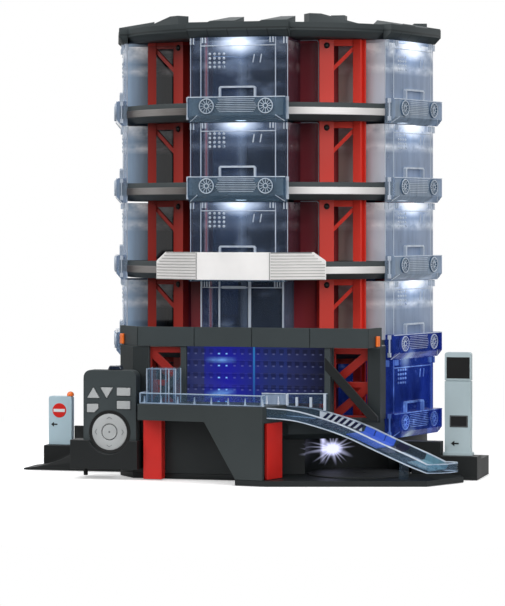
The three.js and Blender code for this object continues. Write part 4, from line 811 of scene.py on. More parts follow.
class Shape:
    """A piece in the making: a bmesh in millimetres in the frame of the model."""

    def __init__(self):
        self.bm = bmesh.new()
        self.painted = 0

    def paint(self, index):
        """Gives a material index to every face made since the last call."""
        self.bm.faces.ensure_lookup_table()
        for face in self.bm.faces[self.painted :]:
            face.material_index = index
        self.painted = len(self.bm.faces)

    def block(self, low, high):
        """A box between two corners."""
        low, high = Vector(low), Vector(high)
        matrix = Matrix.Translation((low + high) / 2) @ Matrix.Diagonal((*(high - low), 1))
        return bmesh.ops.create_cube(self.bm, size=1, matrix=matrix)["verts"]

    def prism(self, points, reach):
        """A flat outline pushed out along a vector."""
        face = self.bm.faces.new([self.bm.verts.new(point) for point in points])
        made = bmesh.ops.extrude_face_region(self.bm, geom=[face], use_keep_orig=True)
        tips = [part for part in made["geom"] if isinstance(part, bmesh.types.BMVert)]
        bmesh.ops.translate(self.bm, verts=tips, vec=Vector(reach))
        return list(face.verts) + tips

    def rod(self, start, end, radius, sides=8, tip=None):
        """A round bar between two points."""
        start, end = Vector(start), Vector(end)
        turn = (end - start).to_track_quat("Z", "Y").to_matrix().to_4x4()
        bmesh.ops.create_cone(
            self.bm,
            cap_ends=True,
            segments=sides,
            radius1=radius,
            radius2=radius if tip is None else tip,
            depth=(end - start).length,
            matrix=Matrix.Translation((start + end) / 2) @ turn,
        )

    def lathe(self, profile, centre, axis, steps=48):
        """A profile of radii and places along an axis, spun all the way round."""
        axis, centre = Vector(axis), Vector(centre)
        side = Vector((1, 0, 0)) if abs(axis.x) < 0.5 else Vector((0, 1, 0))
        places = [centre + side * radius + axis * along for radius, along in profile]
        verts = [self.bm.verts.new(place) for place in places]
        edges = [self.bm.edges.new(pair) for pair in zip(verts, verts[1:])]
        whole = {"cent": centre, "axis": axis, "angle": math.tau, "use_merge": True}
        bmesh.ops.spin(self.bm, geom=verts + edges, steps=steps, **whole)
        bmesh.ops.remove_doubles(self.bm, verts=self.bm.verts, dist=0.0005)

    def closed(self, ring):
        """The edges of a closed outline."""
        return [self.bm.edges.new((ring[i - 1], ring[i])) for i in range(len(ring))]

    def loft(self, stations):
        """A section carried through a list of like outlines and closed at both ends."""
        rings = [[self.bm.verts.new(point) for point in station] for station in stations]
        loops = [self.closed(ring) for ring in rings]
        self.bm.faces.new(rings[0])
        self.bm.faces.new(rings[-1])
        for near, far in zip(loops, loops[1:]):
            bmesh.ops.bridge_loops(self.bm, edges=near + far)

    def move(self, matrix, verts=None):
        """Transforms the whole shape, or only some of its vertices."""
        bmesh.ops.transform(self.bm, matrix=matrix, verts=verts or self.bm.verts)
        return self

    def join(self, part):
        """Takes in another shape."""
        mesh = bpy.data.meshes.new("part")
        part.bm.to_mesh(mesh)
        part.bm.free()
        self.bm.from_mesh(mesh)
        bpy.data.meshes.remove(mesh)
        self.painted = len(self.bm.faces)


def settle(name, bm, body, materials, nodes, edge):
    """Makes the finished object of a bmesh in metres and ties it to the model."""
    mesh = bpy.data.meshes.new(name)
    bm.to_mesh(mesh)
    bm.free()
    made = bpy.data.objects.new(name, mesh)
    bpy.context.scene.collection.objects.link(made)
    for material in materials:
        mesh.materials.append(finish(material))
    mesh.shade_smooth()
    mesh.set_sharp_from_angle(angle=math.radians(32))
    if edge:
        bevel = made.modifiers.new("Rounded edges", "BEVEL")
        bevel.width = edge
        bevel.segments = 2
        bevel.limit_method = "ANGLE"
        bevel.angle_limit = math.radians(34)
        bevel.harden_normals = True
    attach(made, body)
    if nodes:
        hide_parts(*nodes)


def piece(name, shape, body, materials, nodes=(), edge=0.0):
    """Turns a shape in millimetres into a finished piece that rides on a body."""
    bm = shape.bm
    bmesh.ops.remove_doubles(bm, verts=bm.verts, dist=0.0002)
    bmesh.ops.recalc_face_normals(bm, faces=bm.faces)
    bmesh.ops.scale(bm, vec=(MM, MM, MM), verts=bm.verts)
    settle(name, bm, body, materials, nodes, edge)


def body_of(node):
    """The body that carries a node."""
    return frame["nodes"][node]["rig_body"]


def softened(node, material, edge=None, flats=True):
    """A copy of a node with rounded edges, which stands for it.

    Where flats is set, the triangles of each level face are merged first.
    """
    bm = bmesh.new()
    bm.from_mesh(frame["nodes"][node].data)
    for face in bm.faces:
        face.material_index = 0
    bmesh.ops.remove_doubles(bm, verts=bm.verts, dist=2e-6)
    if flats:
        bmesh.ops.dissolve_limit(bm, angle_limit=math.radians(1), verts=bm.verts, edges=bm.edges)
    width = sizes().edge if edge is None else edge
    settle(f"{node}_moulding", bm, body_of(node), [material], [node], width)


# Tower

BAYS = ("right", "rear_right", "rear", "rear_left", "left")
BOLT_PROFILE = [(0, 1.7), (1.6, 1.5), (2.7, 0.8), (3.0, 0.0), (3.0, -0.4)]
BOLT_DROP = 6
BAND_PROFILE = [(147, 3.76), (156.9, 3.76), (158.1, -0.6), (158.1, -7.8), (150.2, -13)]
STRIPE_PROFILE = [
    (157.5, -0.9), (158.1, -0.9), (158.4, -1.3), (158.4, -7.2), (158.1, -7.6), (157.5, -7.6),
]


class GARAGE_OT_bay_frames(bpy.types.Operator):
    """Red bay frames with a black bolt near each ceiling"""

    bl_idname = "garage.bay_frames"
    bl_label = "Bay frames"

    def execute(self, context):
        for bay in BAYS:
            softened(f"frame_bay_{bay}", "red")
        bolts = Shape()
        for index in range(len(BAYS)):
            for level in LEVELS[1:]:
                head = Shape()
                head.lathe(BOLT_PROFILE, (0, -POST_FACE, ceiling(level) - BOLT_DROP), FRONT, 16)
                bolts.join(head.move(turned(COLUMN_TURN * (index + 0.5))))
        piece("frame_bolts", bolts, "garage", ["black"])
        return {"FINISHED"}


def round_bay(shape, profile, line, bay):
    """A profile spun through one bay and cut by the planes of the two recesses beside it."""
    start = math.radians(COLUMN_TURN * bay - 90)
    spoke = Vector((math.cos(start), math.sin(start), 0))
    part = Shape()
    verts = [part.bm.verts.new(spoke * radius + UP * (line + rise)) for radius, rise in profile]
    geom = verts + part.closed(verts)
    turn, steps = math.radians(COLUMN_TURN), sizes().band_steps // len(BAYS)
    bmesh.ops.spin(part.bm, geom=geom, axis=UP, angle=turn, steps=steps, use_merge=False)
    for column, side in ((bay, 1), (bay + 1, -1)):
        across = turned(COLUMN_TURN * column) @ Vector((side, 0, 0))
        cut = {"plane_co": across * RECESS_HALF, "plane_no": across, "clear_inner": True}
        geom = part.bm.verts[:] + part.bm.edges[:] + part.bm.faces[:]
        bmesh.ops.bisect_plane(part.bm, geom=geom, **cut)
    bmesh.ops.holes_fill(part.bm, edges=part.bm.edges)
    shape.join(part)


class GARAGE_OT_floors(bpy.types.Operator):
    """Floors with a smooth dark band and its silver stripe in every bay"""

    bl_idname = "garage.floors"
    bl_label = "Floors"

    def execute(self, context):
        for level in LEVELS:
            floor = frame["nodes"][f"floor_{level}"]
            floor.data.materials.clear()
            floor.data.materials.append(finish("charcoal"))
            rim, stripe = Shape(), Shape()
            for bay in range(len(BAYS)):
                round_bay(rim, BAND_PROFILE, BOLT_LINES[level], bay)
                if level > LEVELS[0]:
                    round_bay(stripe, STRIPE_PROFILE, BOLT_LINES[level], bay)
            piece(f"floor_band_{level}", rim, "garage", ["charcoal"])
            if level > LEVELS[0]:
                piece(f"floor_stripe_{level}", stripe, "garage", ["stripe"])
        return {"FINISHED"}


class GARAGE_OT_roof(bpy.types.Operator):
    """Dark roof with its ridges, crests and boxes"""

    bl_idname = "garage.roof"
    bl_label = "Roof"

    def execute(self, context):
        softened("roof_cap", "roof", flats=False)
        return {"FINISHED"}


# Clear cases

MEDALLION_PROFILE = [
    (0, 1.3), (2.0, 1.3), (2.4, 0.7), (5.9, 0.7), (6.3, 1.5), (7.2, 1.5), (MEDALLION_RADIUS, 1.0),
    (MEDALLION_RADIUS, -0.4),
]
PLATE_FACE = [
    (-PLATE_LIP, 9), (-159.6, 9), (-PLATE_FRONT, 7.6), (-PLATE_FRONT, -9), (-155.5, -15),
]
PLATE_SKIN = PLATE_FACE + [(-153.5, -15), (-159, -8.4), (-159, 7), (-PLATE_LIP, 7)]
PLATE_END = PLATE_FACE + [(-PLATE_LIP, -15)]
PLATE_RIBS = 7
GRIP_OUTER = [
    (-GRIP_HALF, 8.6), (-GRIP_HALF, 17.4), (-16.4, 19), (16.4, 19), (GRIP_HALF, 17.4),
    (GRIP_HALF, 8.6),
]
GRIP_INNER = [
    (16.2, 8.6), (16.2, 16.6), (15.6, 17.2), (-15.6, 17.2), (-16.2, 16.6), (-16.2, 8.6),
]
STAR_RIMS = ((6.4, 7.3), (1.7, 2.4))
STAR_RIBS = 12
CLIPS = ((33, -156.2, 5.5), (45.5, -153, 6.5))
STUD_START = (-27.5, 49.5)
STUD_PITCH = (4.6, 4.1)
STUD_ROWS = 4
SLANT = [(14, 41), (15.1, 41), (16.5, 49), (15.4, 49)]
SLANT_PITCH = 7


def case_window(shape, low, high):
    """Walls of a case: flanks, canted corners and the window."""
    half = [(CASE_HALF, -CASE_BACK), (CASE_HALF, -FLANK_FRONT), (WINDOW_HALF, -WINDOW_FRONT)]
    line = [(-x, y) for x, y in half] + half[::-1]
    shape.prism(plan(walled(line, CASE_WALL), low), UP * (high - low))


def case_plate(shape):
    """Bumper plate at a case's foot: lip, face, chin and closed ends."""
    shape.prism([(-PLATE_HALF, y, z) for y, z in PLATE_SKIN], (2 * PLATE_HALF, 0, 0))
    for start in (-PLATE_HALF, PLATE_HALF - CASE_WALL):
        shape.prism([(start, y, z) for y, z in PLATE_END], (CASE_WALL, 0, 0))


def spot_turn(centre, index, count):
    """The turn of one of a ring of like marks on a face that looks to the front."""
    return Matrix.Translation(centre) @ Matrix.Rotation(math.tau * index / count, 4, "Y")


def star(shape, x):
    """Bright rims and a starburst of ribs on a raised disc, in painted highlight."""
    face = -PLATE_FRONT
    for near, far in STAR_RIMS:
        rim = [(near, -1.4), (near, 1.75), (far, 1.75), (far, -1.4), (near, -1.4)]
        shape.lathe(rim, (x, face, 0), FRONT, 32)
    for index in range(STAR_RIBS):
        rib = shape.block((2.2, face - 1.3, -0.25), (6.2, face - 0.4, 0.25))
        shape.move(spot_turn((x, 0, 0), index, STAR_RIBS), rib)


def case_beads(shape, low, high):
    """Bright corners, clips, studs, top rail, plate edges and ribs of a display case, in painted
    highlight.
    """
    face, top = -PLATE_FRONT, high - 0.3
    for side in (-1, 1):
        for x, y, width in ((WINDOW_HALF, -WINDOW_FRONT, 0.6), (CASE_HALF, -FLANK_FRONT, 0.45)):
            shape.rod((side * x, y + 0.4, low + 0.5), (side * x, y + 0.4, top), width)
        for x, y, z in CLIPS:
            for left in (side * x - 1.9, side * x + 0.9):
                shape.block((left, y, high - z), (left + 1.2, y + 3.6, top))
        near, far = sorted((side * PLATE_HALF, side * (PLATE_HALF + 2.2)))
        for z in (4.5, -12.5):
            shape.block((near, -157.6, z), (far, -154.6, z + 4.2))
        shape.block((near, -156.6, -9), (far, -155.8, 5))
        shape.rod((side * 38, face - 0.1, -8.6), (side * 46, -156.2, -14.4), 0.45, 6)
    shape.block((-WINDOW_HALF, -154.9, high - 8.5), (WINDOW_HALF, -153.6, high - 7.6))
    shape.block((-PLATE_HALF, face - 0.35, 8.1), (PLATE_HALF, face + 0.6, 9))
    shape.block((-GRIP_HALF, face - 0.35, 6.2), (GRIP_HALF, face + 0.3, 6.8))
    for index in range(PLATE_RIBS):
        height = -5.6 + index * 1.7
        half = 20.5 - abs(index - PLATE_RIBS // 2) * 1.2
        shape.block((-half, face - 0.4, height), (half, face + 0.3, height + 0.45))
    for column in range(STUD_ROWS):
        for row in range(STUD_ROWS):
            x = STUD_START[0] + column * STUD_PITCH[0]
            spot = Vector((x, -WINDOW_FRONT + 0.1, STUD_START[1] - row * STUD_PITCH[1]))
            shape.rod(spot, spot + FRONT * 0.9, 1.5, 8, 0.8)
    for step in (0, SLANT_PITCH):
        mark = [(x + step, z) for x, z in SLANT]
        shape.prism(upright(mark, -WINDOW_FRONT - 0.5), (0, 0.9, 0))


def case_top(level):
    """The height of a case's window over its bolt line."""
    return ceiling(level) - 0.3 - BOLT_LINES[level] - (0 if level == LEVELS[-1] else 2)


def display_case(level, turn, trim=True, beads=True):
    """One clear case over its bolt line, turned to its column.

    Its trim is the pair of medallions, and its beads are its edges and ribs, bright with painted
    highlight. The materials are those of the walls, the edges, the medallions and the plate.
    """
    shape = Shape()
    low, high = FLOOR_TOP + 0.3, case_top(level)
    case_window(shape, low, high)
    shape.paint(0)
    case_plate(shape)
    shape.paint(3)
    shape.prism(upright(GRIP_OUTER + GRIP_INNER, -157.5), (0, 4.1, 0))
    if beads:
        case_beads(shape, low, high)
    shape.paint(1)
    if trim:
        for x in (-MEDALLION_X, MEDALLION_X):
            shape.lathe(MEDALLION_PROFILE, (x, -PLATE_FRONT, 0), FRONT, 32)
        shape.paint(2)
        for x in (-MEDALLION_X, MEDALLION_X):
            star(shape, x)
        shape.paint(1)
    return shape.move(turned(turn, BOLT_LINES[level]))


def clear_case(node, shape, finishes, edge):
    """A case of the tower that stands for its node."""
    piece(f"{node}_clear", shape, "garage", finishes, [node], edge)


PANE_LEFT, PANE_RIGHT = 48.6, 66.8
PANE_FRONT, PANE_BACK = -104.4, -103.8
SIGN_LEVEL = 3


class GARAGE_OT_front_cases(bpy.types.Operator):
    """Three display cases of the front column, with a thin pane inside beside each"""

    bl_idname = "garage.front_cases"
    bl_label = "Front cases"

    def execute(self, context):
        finishes = ["clear_front", "clear_edge", "steel", "clear_plate"]
        for level in LEVELS[2:]:
            shape = display_case(level, 0, trim=level != SIGN_LEVEL)
            clear_case(f"case_front_{level}", shape, finishes, sizes().fine_edge)
        sheets = Shape()
        spans = [(BOLT_LINES[n] + FLOOR_TOP + 0.3, ceiling(n) - 0.6) for n in LEVELS[2:]]
        for low, high in spans:
            sheets.block((PANE_LEFT, PANE_FRONT, low), (PANE_RIGHT, PANE_BACK, high))
        sheets.paint(0)
        # Thin bright rods along each pane's edges: painted highlights
        side, corner = PANE_RIGHT - 0.2, PANE_RIGHT - 2
        for low, high in spans:
            bend, top = high - 2, high - 0.5
            rims = (
                ((side, low), (side, bend), 0.55),
                ((side, bend), (corner, top), 0.5),
                ((PANE_LEFT + 0.2, top), (corner, top), 0.4),
            )
            for start, end, radius in rims:
                sheets.rod(*upright((start, end), PANE_FRONT + 0.1), radius, 6)
        sheets.paint(1)
        piece("inner_sheets", sheets, "garage", ["mauve", "clear_edge"])
        return {"FINISHED"}


RIGHT_FINISHES = {
    1: ["blue_case", "blue_edge", "blue_case", "blue_case"],
    2: ["clear_right", "clear_edge", "blue_case", "blue_case"],
}


class GARAGE_OT_right_cases(bpy.types.Operator):
    """Five display cases of the right column: the first with a painted blue glow, as has the
    second's plate
    """

    bl_idname = "garage.right_cases"
    bl_label = "Right cases"

    def execute(self, context):
        plain = ["clear_right", "clear_edge", "steel", "pale_plate"]
        for level in LEVELS:
            shape, finishes = display_case(level, COLUMN_TURN), RIGHT_FINISHES.get(level, plain)
            clear_case(f"case_right_{level}", shape, finishes, sizes().fine_edge)
        return {"FINISHED"}


class GARAGE_OT_case_columns(bpy.types.Operator):
    """The left column and the two smoke columns at the rear"""

    bl_idname = "garage.case_columns"
    bl_label = "Case columns"

    def execute(self, context):
        clear = ["clear_left", "clear_edge", "clear_edge", "pale_plate"]
        smoke = ["clear_rear", "smoke_edge", "smoke_edge", "clear_rear"]
        columns = (("left", -1, clear), ("rear_right", 2, smoke), ("rear_left", 3, smoke))
        for side, column, finishes in columns:
            whole = Shape()
            for level in LEVELS:
                whole.join(display_case(level, column * COLUMN_TURN, beads=finishes is clear))
            clear_case(f"case_column_{side}", whole, finishes, 0.0)
        return {"FINISHED"}


class GARAGE_OT_front_cover(bpy.types.Operator):
    """Recessed clear cover of the second front cell, with its top rail, clips and ribs"""

    bl_idname = "garage.front_cover"
    bl_label = "Front cover"

    def execute(self, context):
        node = "front_cover_2"
        low, high = extent(node)
        shape = Shape()
        wall = low.y + 1.4
        line = [(low.x, -CASE_BACK), (low.x, wall), (high.x, wall), (high.x, -CASE_BACK)]
        shape.prism(plan(walled(line, CASE_WALL), low.z), UP * (high.z - low.z))
        shape.paint(0)
        for x, half in ((low.x + 0.9, 0.6), (-22.2, 0.8), (7.5, 1.3), (high.x - 0.9, 0.8)):
            shape.block((x - half, low.y, low.z), (x + half, low.y + 2, high.z))
        for z in (0.9, 8.0):
            shape.block((low.x, low.y, high.z - z), (high.x, low.y + 1.6, high.z - z + 0.9))
        shape.block((-20, low.y, high.z - 8.6), (4, low.y + 1.2, high.z - 6.2))
        shape.block((low.x, low.y, low.z), (high.x, low.y + 1.6, low.z + 1.0))
        for side in (-1, 1):
            for step in range(4):
                x = side * (32 + step * 2.5)
                shape.block((x - 0.5, low.y, high.z - 7), (x + 0.5, low.y + 2.6, high.z - 0.6))
        shape.paint(1)
        finishes, edge = ["clear_cover", "clear_edge"], sizes().fine_edge
        piece("front_cover_clear", shape, "garage", finishes, [node], edge)
        return {"FINISHED"}


class GARAGE_OT_cell_lamps(bpy.types.Operator):
    """A small lit lens under the ceiling of the front and right display cells"""

    bl_idname = "garage.cell_lamps"
    bl_label = "Cell lamps"

    def execute(self, context):
        lens_profile = [(0, 0.8), (3.2, 0.7), (5.0, 0.4), (5.6, 0.0)]
        for turn, side, levels in ((0, "front", LEVELS[2:]), (COLUMN_TURN, "right", LEVELS)):
            shape = Shape()
            for level in levels:
                lens = Shape()
                lens.lathe(lens_profile, (0, -143, ceiling(level) + 0.2), -UP, 24)
                shape.join(lens.move(turned(turn)))
            piece(f"cell_lamps_{side}", shape, "garage", ["cell_lamp"])
        return {"FINISHED"}


# Lift, base and portal


class GARAGE_OT_lift(bpy.types.Operator):
    """Mast, carriage and tray, with the gear and the pinion that turn them"""

    bl_idname = "garage.lift"
    bl_label = "Lift"

    def execute(self, context):
        softened("lift_mast", "dark")
        softened("lift_carriage", "charcoal")
        for node in ("car_tray", "turn_gear", "drive_pinion"):
            softened(node, "grey")
        return {"FINISHED"}


DISC_TOP = [
    (0, -0.4), (6, -0.4), (6.4, 0), (43.2, 0), (43.6, -0.7), (44.2, -0.7), (44.6, 0), (47.9, 0),
    (48.5, -0.5),
]


def at_height(point, height):
    """A point's place in plan, at a height."""
    return Vector((point.x, point.y, height))


class GARAGE_OT_base(bpy.types.Operator):
    """Base tray, exit lane, entry wing and the disc of the display turntable"""

    bl_idname = "garage.base"
    bl_label = "Base"

    def execute(self, context):
        softened("base_tray", "lit_base", sizes().thick_edge)
        softened("exit_ramp", "dark")
        softened("entry_wing", "dark")
        low, high = extent("display_turntable")
        profile = [(radius, high.z + rise) for radius, rise in DISC_TOP]
        profile += [(48.5, low.z + 2), (5, low.z + 2), (5, low.z), (0, low.z)]
        disc = Shape()
        disc.lathe(profile, at_height((low + high) / 2, 0), UP, 96)
        piece("turntable_disc", disc, "turntable", ["dark"], ["display_turntable"])
        return {"FINISHED"}


BRACE_OUTLINE = [(85.8, 117), (85.8, 104.5), (129, 57.6), (136, 57.6), (136, 62)]
BRACE_FRONT = -162.2


class GARAGE_OT_portal(bpy.types.Operator):
    """Portal wall, collar with its lamps, lobby doors and brace panels"""

    bl_idname = "garage.portal"
    bl_label = "Portal"

    def execute(self, context):
        softened("front_portal", "portal")
        softened("collar_band", "charcoal")
        for side in ("left", "right"):
            softened(f"collar_lamp_{side}", "amber", sizes().thick_edge)
            softened(f"lobby_door_{side}", "lobby", sizes().fine_edge)
            softened(f"brace_panel_{side}", "brace_red")
        bar = Shape()
        bar.prism(upright(BRACE_OUTLINE, BRACE_FRONT), (0, 3, 0))
        piece("portal_brace", bar, "garage", ["dark"], edge=sizes().edge)
        return {"FINISHED"}


# Balcony and slope

DECK_TOP = 72.5
DECK_LINE = [(-88, -162.3), (-86.5, -194.7), (38.4, -212), (55, -162.3)]
RAIL_INSET = 1.4
RAIL_TOP = 83.3
DECK_EDGE = (Vector(DECK_LINE[3]) - Vector(DECK_LINE[2])).normalized()
SLOPE_START = 7
SLOPE_TURN = math.radians(12)
SLOPE_LENGTH = 165
SLOPE_WIDTH = 31.5
SLOPE_HIGH = 71.8
SLOPE_LOW = 11.2
SLOPE_FOOT = 5.3
SLOPE_HEAD = SLOPE_HIGH - 9.8
SLOPE_WALL = 1.8
SLOPE_BED = 2.2
SLOPE_TIP = 18
SLOPE_END = SLOPE_LENGTH - SLOPE_TIP
FAR_WALL = SLOPE_WIDTH - SLOPE_WALL
RIM_WIDTH = 1.9
GUARD_END = 37
GUARD_POSTS = (0, 9, 22, 35)
# Shares of the length, of the wall's height and of the underside's height
SLOPE_SHARES = [
    (0, 1, 1), (0.15, 0.96, 0.958), (0.32, 0.835, 0.824), (0.455, 0.7, 0.68), (0.62, 0.49, 0.455),
    (0.82, 0.245, 0.193), (1, 0, 0),
]
# Start along the slope, width and material index of each slat
SLATS = [(33 + index * 5.2, 2.9, 2) for index in range(7)]
# The last one is a teal plate near the tip: a painted highlight
SLATS += [(72, 8.6, 3), (81.4, 8.6, 3), (90.8, 8.6, 3), (101, 9.5, 2), (128, 20, 4)]


def slope_line():
    """Stations of the slope: along, wall top and underside."""
    stations = []
    for along, upper, lower in SLOPE_SHARES:
        top = SLOPE_LOW + (SLOPE_HIGH - SLOPE_LOW) * upper
        stations.append((along * SLOPE_LENGTH, top, SLOPE_FOOT + (SLOPE_HEAD - SLOPE_FOOT) * lower))
    return smooth(stations, 8)


def slope_at(along):
    """Wall top and underside at a distance along the slope."""
    line = slope_line()
    for near, far in zip(line, line[1:]):
        if far[0] >= along:
            part = near.lerp(far, (along - near[0]) / (far[0] - near[0]))
            return part[1], part[2]
    return line[-1][1], line[-1][2]


def on_slope(along, across, height):
    """A point of the slope's skewed plan."""
    forward = Vector((math.cos(SLOPE_TURN), math.sin(SLOPE_TURN)))
    side = DECK_EDGE / (DECK_EDGE.y * forward.x - DECK_EDGE.x * forward.y)
    outward = Vector((DECK_EDGE.y, -DECK_EDGE.x))
    start = Vector(DECK_LINE[2]) + DECK_EDGE * SLOPE_START + outward * 0.3
    return at_height(start + forward * along + side * across, height)


def slope_bar(shape, stations):
    """A bar along the slope; each station gives along, two sides and two heights."""
    rings = []
    for along, near, far, low, high in stations:
        corners = rectangle(near, far, low, high)
        rings.append([on_slope(along, across, height) for across, height in corners])
    shape.loft(rings)


def tip_bar(shape, width, low, high):
    """A bar of a width round the slope's rounded tip, between two heights."""
    middle, rings = SLOPE_WIDTH / 2, []
    for step in range(13):
        turn = math.pi * step / 12
        ring = []
        for inner, height in rectangle(0, width, low, high):
            along = SLOPE_END + (SLOPE_TIP - inner) * math.sin(turn)
            ring.append(on_slope(along, middle - (middle - inner) * math.cos(turn), height))
        rings.append(ring)
    shape.loft(rings)


def slat(shape, start, width, index):
    """A slanted mark on the far wall and the bar that carries it on over the bed."""
    face, back = FAR_WALL - 0.45, FAR_WALL + 0.1
    slant = 5.5 if index == 2 else 2.5
    outline = []
    for along, up in rectangle(start, start + width, 0, 1):
        high, low = slope_at(along + slant * up)
        height = high - 0.8 if up else low + SLOPE_BED
        outline.append(on_slope(along + slant * up, face, height))
    shape.prism(outline, on_slope(0, back, 0) - on_slope(0, face, 0))
    near, far = SLOPE_WALL + 0.4, FAR_WALL - 0.4
    bar = []
    for along in (start, start + width):
        bed = slope_at(along)[1] + SLOPE_BED
        bar.append((along, near, far, bed - 0.1, bed + 0.7))
    slope_bar(shape, bar)
    shape.paint(index)


class GARAGE_OT_slope(bpy.types.Operator):
    """Clear curved slope with bright rims of painted highlight, navy slats and a teal plate of
    painted highlight on its bed, a guard and a rounded tip
    """

    bl_idname = "garage.slope"
    bl_label = "Slope"

    def execute(self, context):
        shape = Shape()
        line = [station for station in slope_line() if station[0] < SLOPE_END]
        top, foot = slope_at(SLOPE_END)
        line.append(Vector((SLOPE_END, top, foot)))
        for near in (0, FAR_WALL):
            slope_bar(shape, [(a, near, near + SLOPE_WALL, low, high) for a, high, low in line])
        slope_bar(shape, [(a, SLOPE_WALL, FAR_WALL, low, low + SLOPE_BED) for a, _, low in line])
        tip_bar(shape, SLOPE_WALL, foot, top)
        slope_bar(shape, [(a, 12, 19.5, SLOPE_FOOT, slope_at(a)[1] + 0.5) for a in (115, 119)])
        guard = [(a, slope_at(a)[0] - 0.5) for a in (0, 18, GUARD_END)]
        slope_bar(shape, [(a, FAR_WALL, SLOPE_WIDTH, low, RAIL_TOP) for a, low in guard])
        shape.paint(0)
        for near in (-0.1, FAR_WALL):
            far = near + RIM_WIDTH
            slope_bar(shape, [(a, near, far, high - 0.8, high + 0.1) for a, high, _ in line])
            slope_bar(shape, [(a, near, far, low - 0.1, low + 0.7) for a, _, low in line])
        for low, high in ((top - 0.8, top + 0.1), (foot - 0.1, foot + 0.7)):
            tip_bar(shape, SLOPE_WALL + 0.2, low, high)
        rim = (FAR_WALL - 0.1, SLOPE_WIDTH, RAIL_TOP - 0.7, RAIL_TOP)
        slope_bar(shape, [(a, *rim) for a in (0, GUARD_END)])
        for start in GUARD_POSTS:
            high = RAIL_TOP - (0.2 if start in (GUARD_POSTS[0], GUARD_POSTS[-1]) else 3.5)
            post = (FAR_WALL - 1.6, FAR_WALL, slope_at(start)[0] + 0.4, high)
            slope_bar(shape, [(a, *post) for a in (start + 0.2, start + 1.8)])
        pale = []
        for along in (31, 44, 57, 70):
            high, low = slope_at(along)
            pale.append((along, FAR_WALL - 0.25, FAR_WALL + 0.1, low + SLOPE_BED, high - 0.9))
        slope_bar(shape, pale)
        shape.paint(1)
        for start, width, index in SLATS:
            slat(shape, start, width, index)
        finishes = ["slope_clear", "clear_edge", "slat", "slat_blue", "slat_teal"]
        piece("slope_clear", shape, body_of("slope"), finishes, ["slope"])
        return {"FINISHED"}


FIN_PITCH = 17
SHORT_RAIL = -173


class GARAGE_OT_balcony(bpy.types.Operator):
    """Deck with its clear rail, the glass booth and the two red columns"""

    bl_idname = "garage.balcony"
    bl_label = "Balcony"

    def execute(self, context):
        softened("balcony_deck", "deck")
        softened("balcony_rail", "slope_clear", sizes().fine_edge)
        softened("glass_booth", "clear_plain", sizes().fine_edge)
        for side in ("left", "right"):
            softened(f"red_column_{side}", "bright_red")
        # Rods along the rail and round the booth and the rail's fins, in the edge finish of painted
        # highlight
        edges = Shape()
        line = inset(DECK_LINE, RAIL_INSET + 0.7)
        line[3] = line[2] + DECK_EDGE * (SLOPE_START - 1)
        rail = RAIL_TOP - 0.5
        for start, end in zip(line, line[1:]):
            edges.rod((*start, rail), (*end, rail), 0.55, 6)
            edges.rod((*start, DECK_TOP + 0.9), (*end, DECK_TOP + 0.9), 0.5, 6)
            edges.rod((*start, DECK_TOP + 0.5), (*start, rail), 0.6, 6)
        way = (line[2] - line[1]).normalized()
        first = line[1] + way * 4 + left_of(line[1], line[2]) * 1.4
        fins = [first + way * (index * FIN_PITCH) for index in range(8)]
        for spot in fins + [(33, SHORT_RAIL - 0.2), (44, SHORT_RAIL - 0.2)]:
            edges.rod((*spot, DECK_TOP + 0.4), (*spot, DECK_TOP + 7.6), 1.3, 6, 0.5)
        edges.rod((28, SHORT_RAIL, rail), (51, SHORT_RAIL, rail), 0.55, 6)
        low, high = extent("glass_booth")
        for x in (low.x + 0.5, -66, -58, high.x - 0.5):
            for y in (low.y + 0.5, high.y - 0.5):
                edges.rod((x, y, low.z), (x, y, high.z - 0.3), 0.6, 6)
        for z in (low.z + 0.5, high.z - 0.5):
            edges.rod((low.x + 0.3, low.y + 0.4, z), (high.x - 0.3, low.y + 0.4, z), 0.5, 6)
        edges.paint(0)
        lower, upper = DECK_TOP + 0.3, RAIL_TOP - 0.3
        edges.block((28, SHORT_RAIL - 0.3, lower), (51, SHORT_RAIL + 0.5, upper))
        edges.paint(1)
        piece("balcony_edges", edges, "garage", ["clear_edge", "slope_clear"])
        return {"FINISHED"}


# Signs

ENTRY_FACE = -98.5
ENTRY_PLATE = (189.4, 211.4, 95, 115)
ENTRY_SLOT = (192.4, 209.6, 48.9, 60)
ENTRY_SEAM = 92.2
EXIT_FACE = -64
STOP_PROFILE = [(0, 0.35), (7.0, 0.35), (7.2, 0.1), (7.2, -0.2)]
DOME_RADIUS = 3.5
DOME_FOOT = 1.2
MARK_DEPTH = (0, 0.6, 0)


def rounded(left, right, bottom, top, radius, steps=6):
    """A rectangle drawn across and up, with its upper corners rounded."""
    outline = [(left, bottom), (right, bottom)]
    for x, start in ((right - radius, 0), (left + radius, math.pi / 2)):
        for step in range(steps + 1):
            turn = start + math.pi / 2 * step / steps
            outline.append((x + radius * math.cos(turn), top - radius + radius * math.sin(turn)))
    return outline


def arrow(x, z, size):
    """A left arrow head and shaft, drawn across and up."""
    half = [(1, -0.8), (1, -0.22), (2.2, -0.22)]
    marks = [(0, 0)] + half + [(along, -up) for along, up in half[::-1]]
    return [(x + size * along, z + size * up) for along, up in marks]


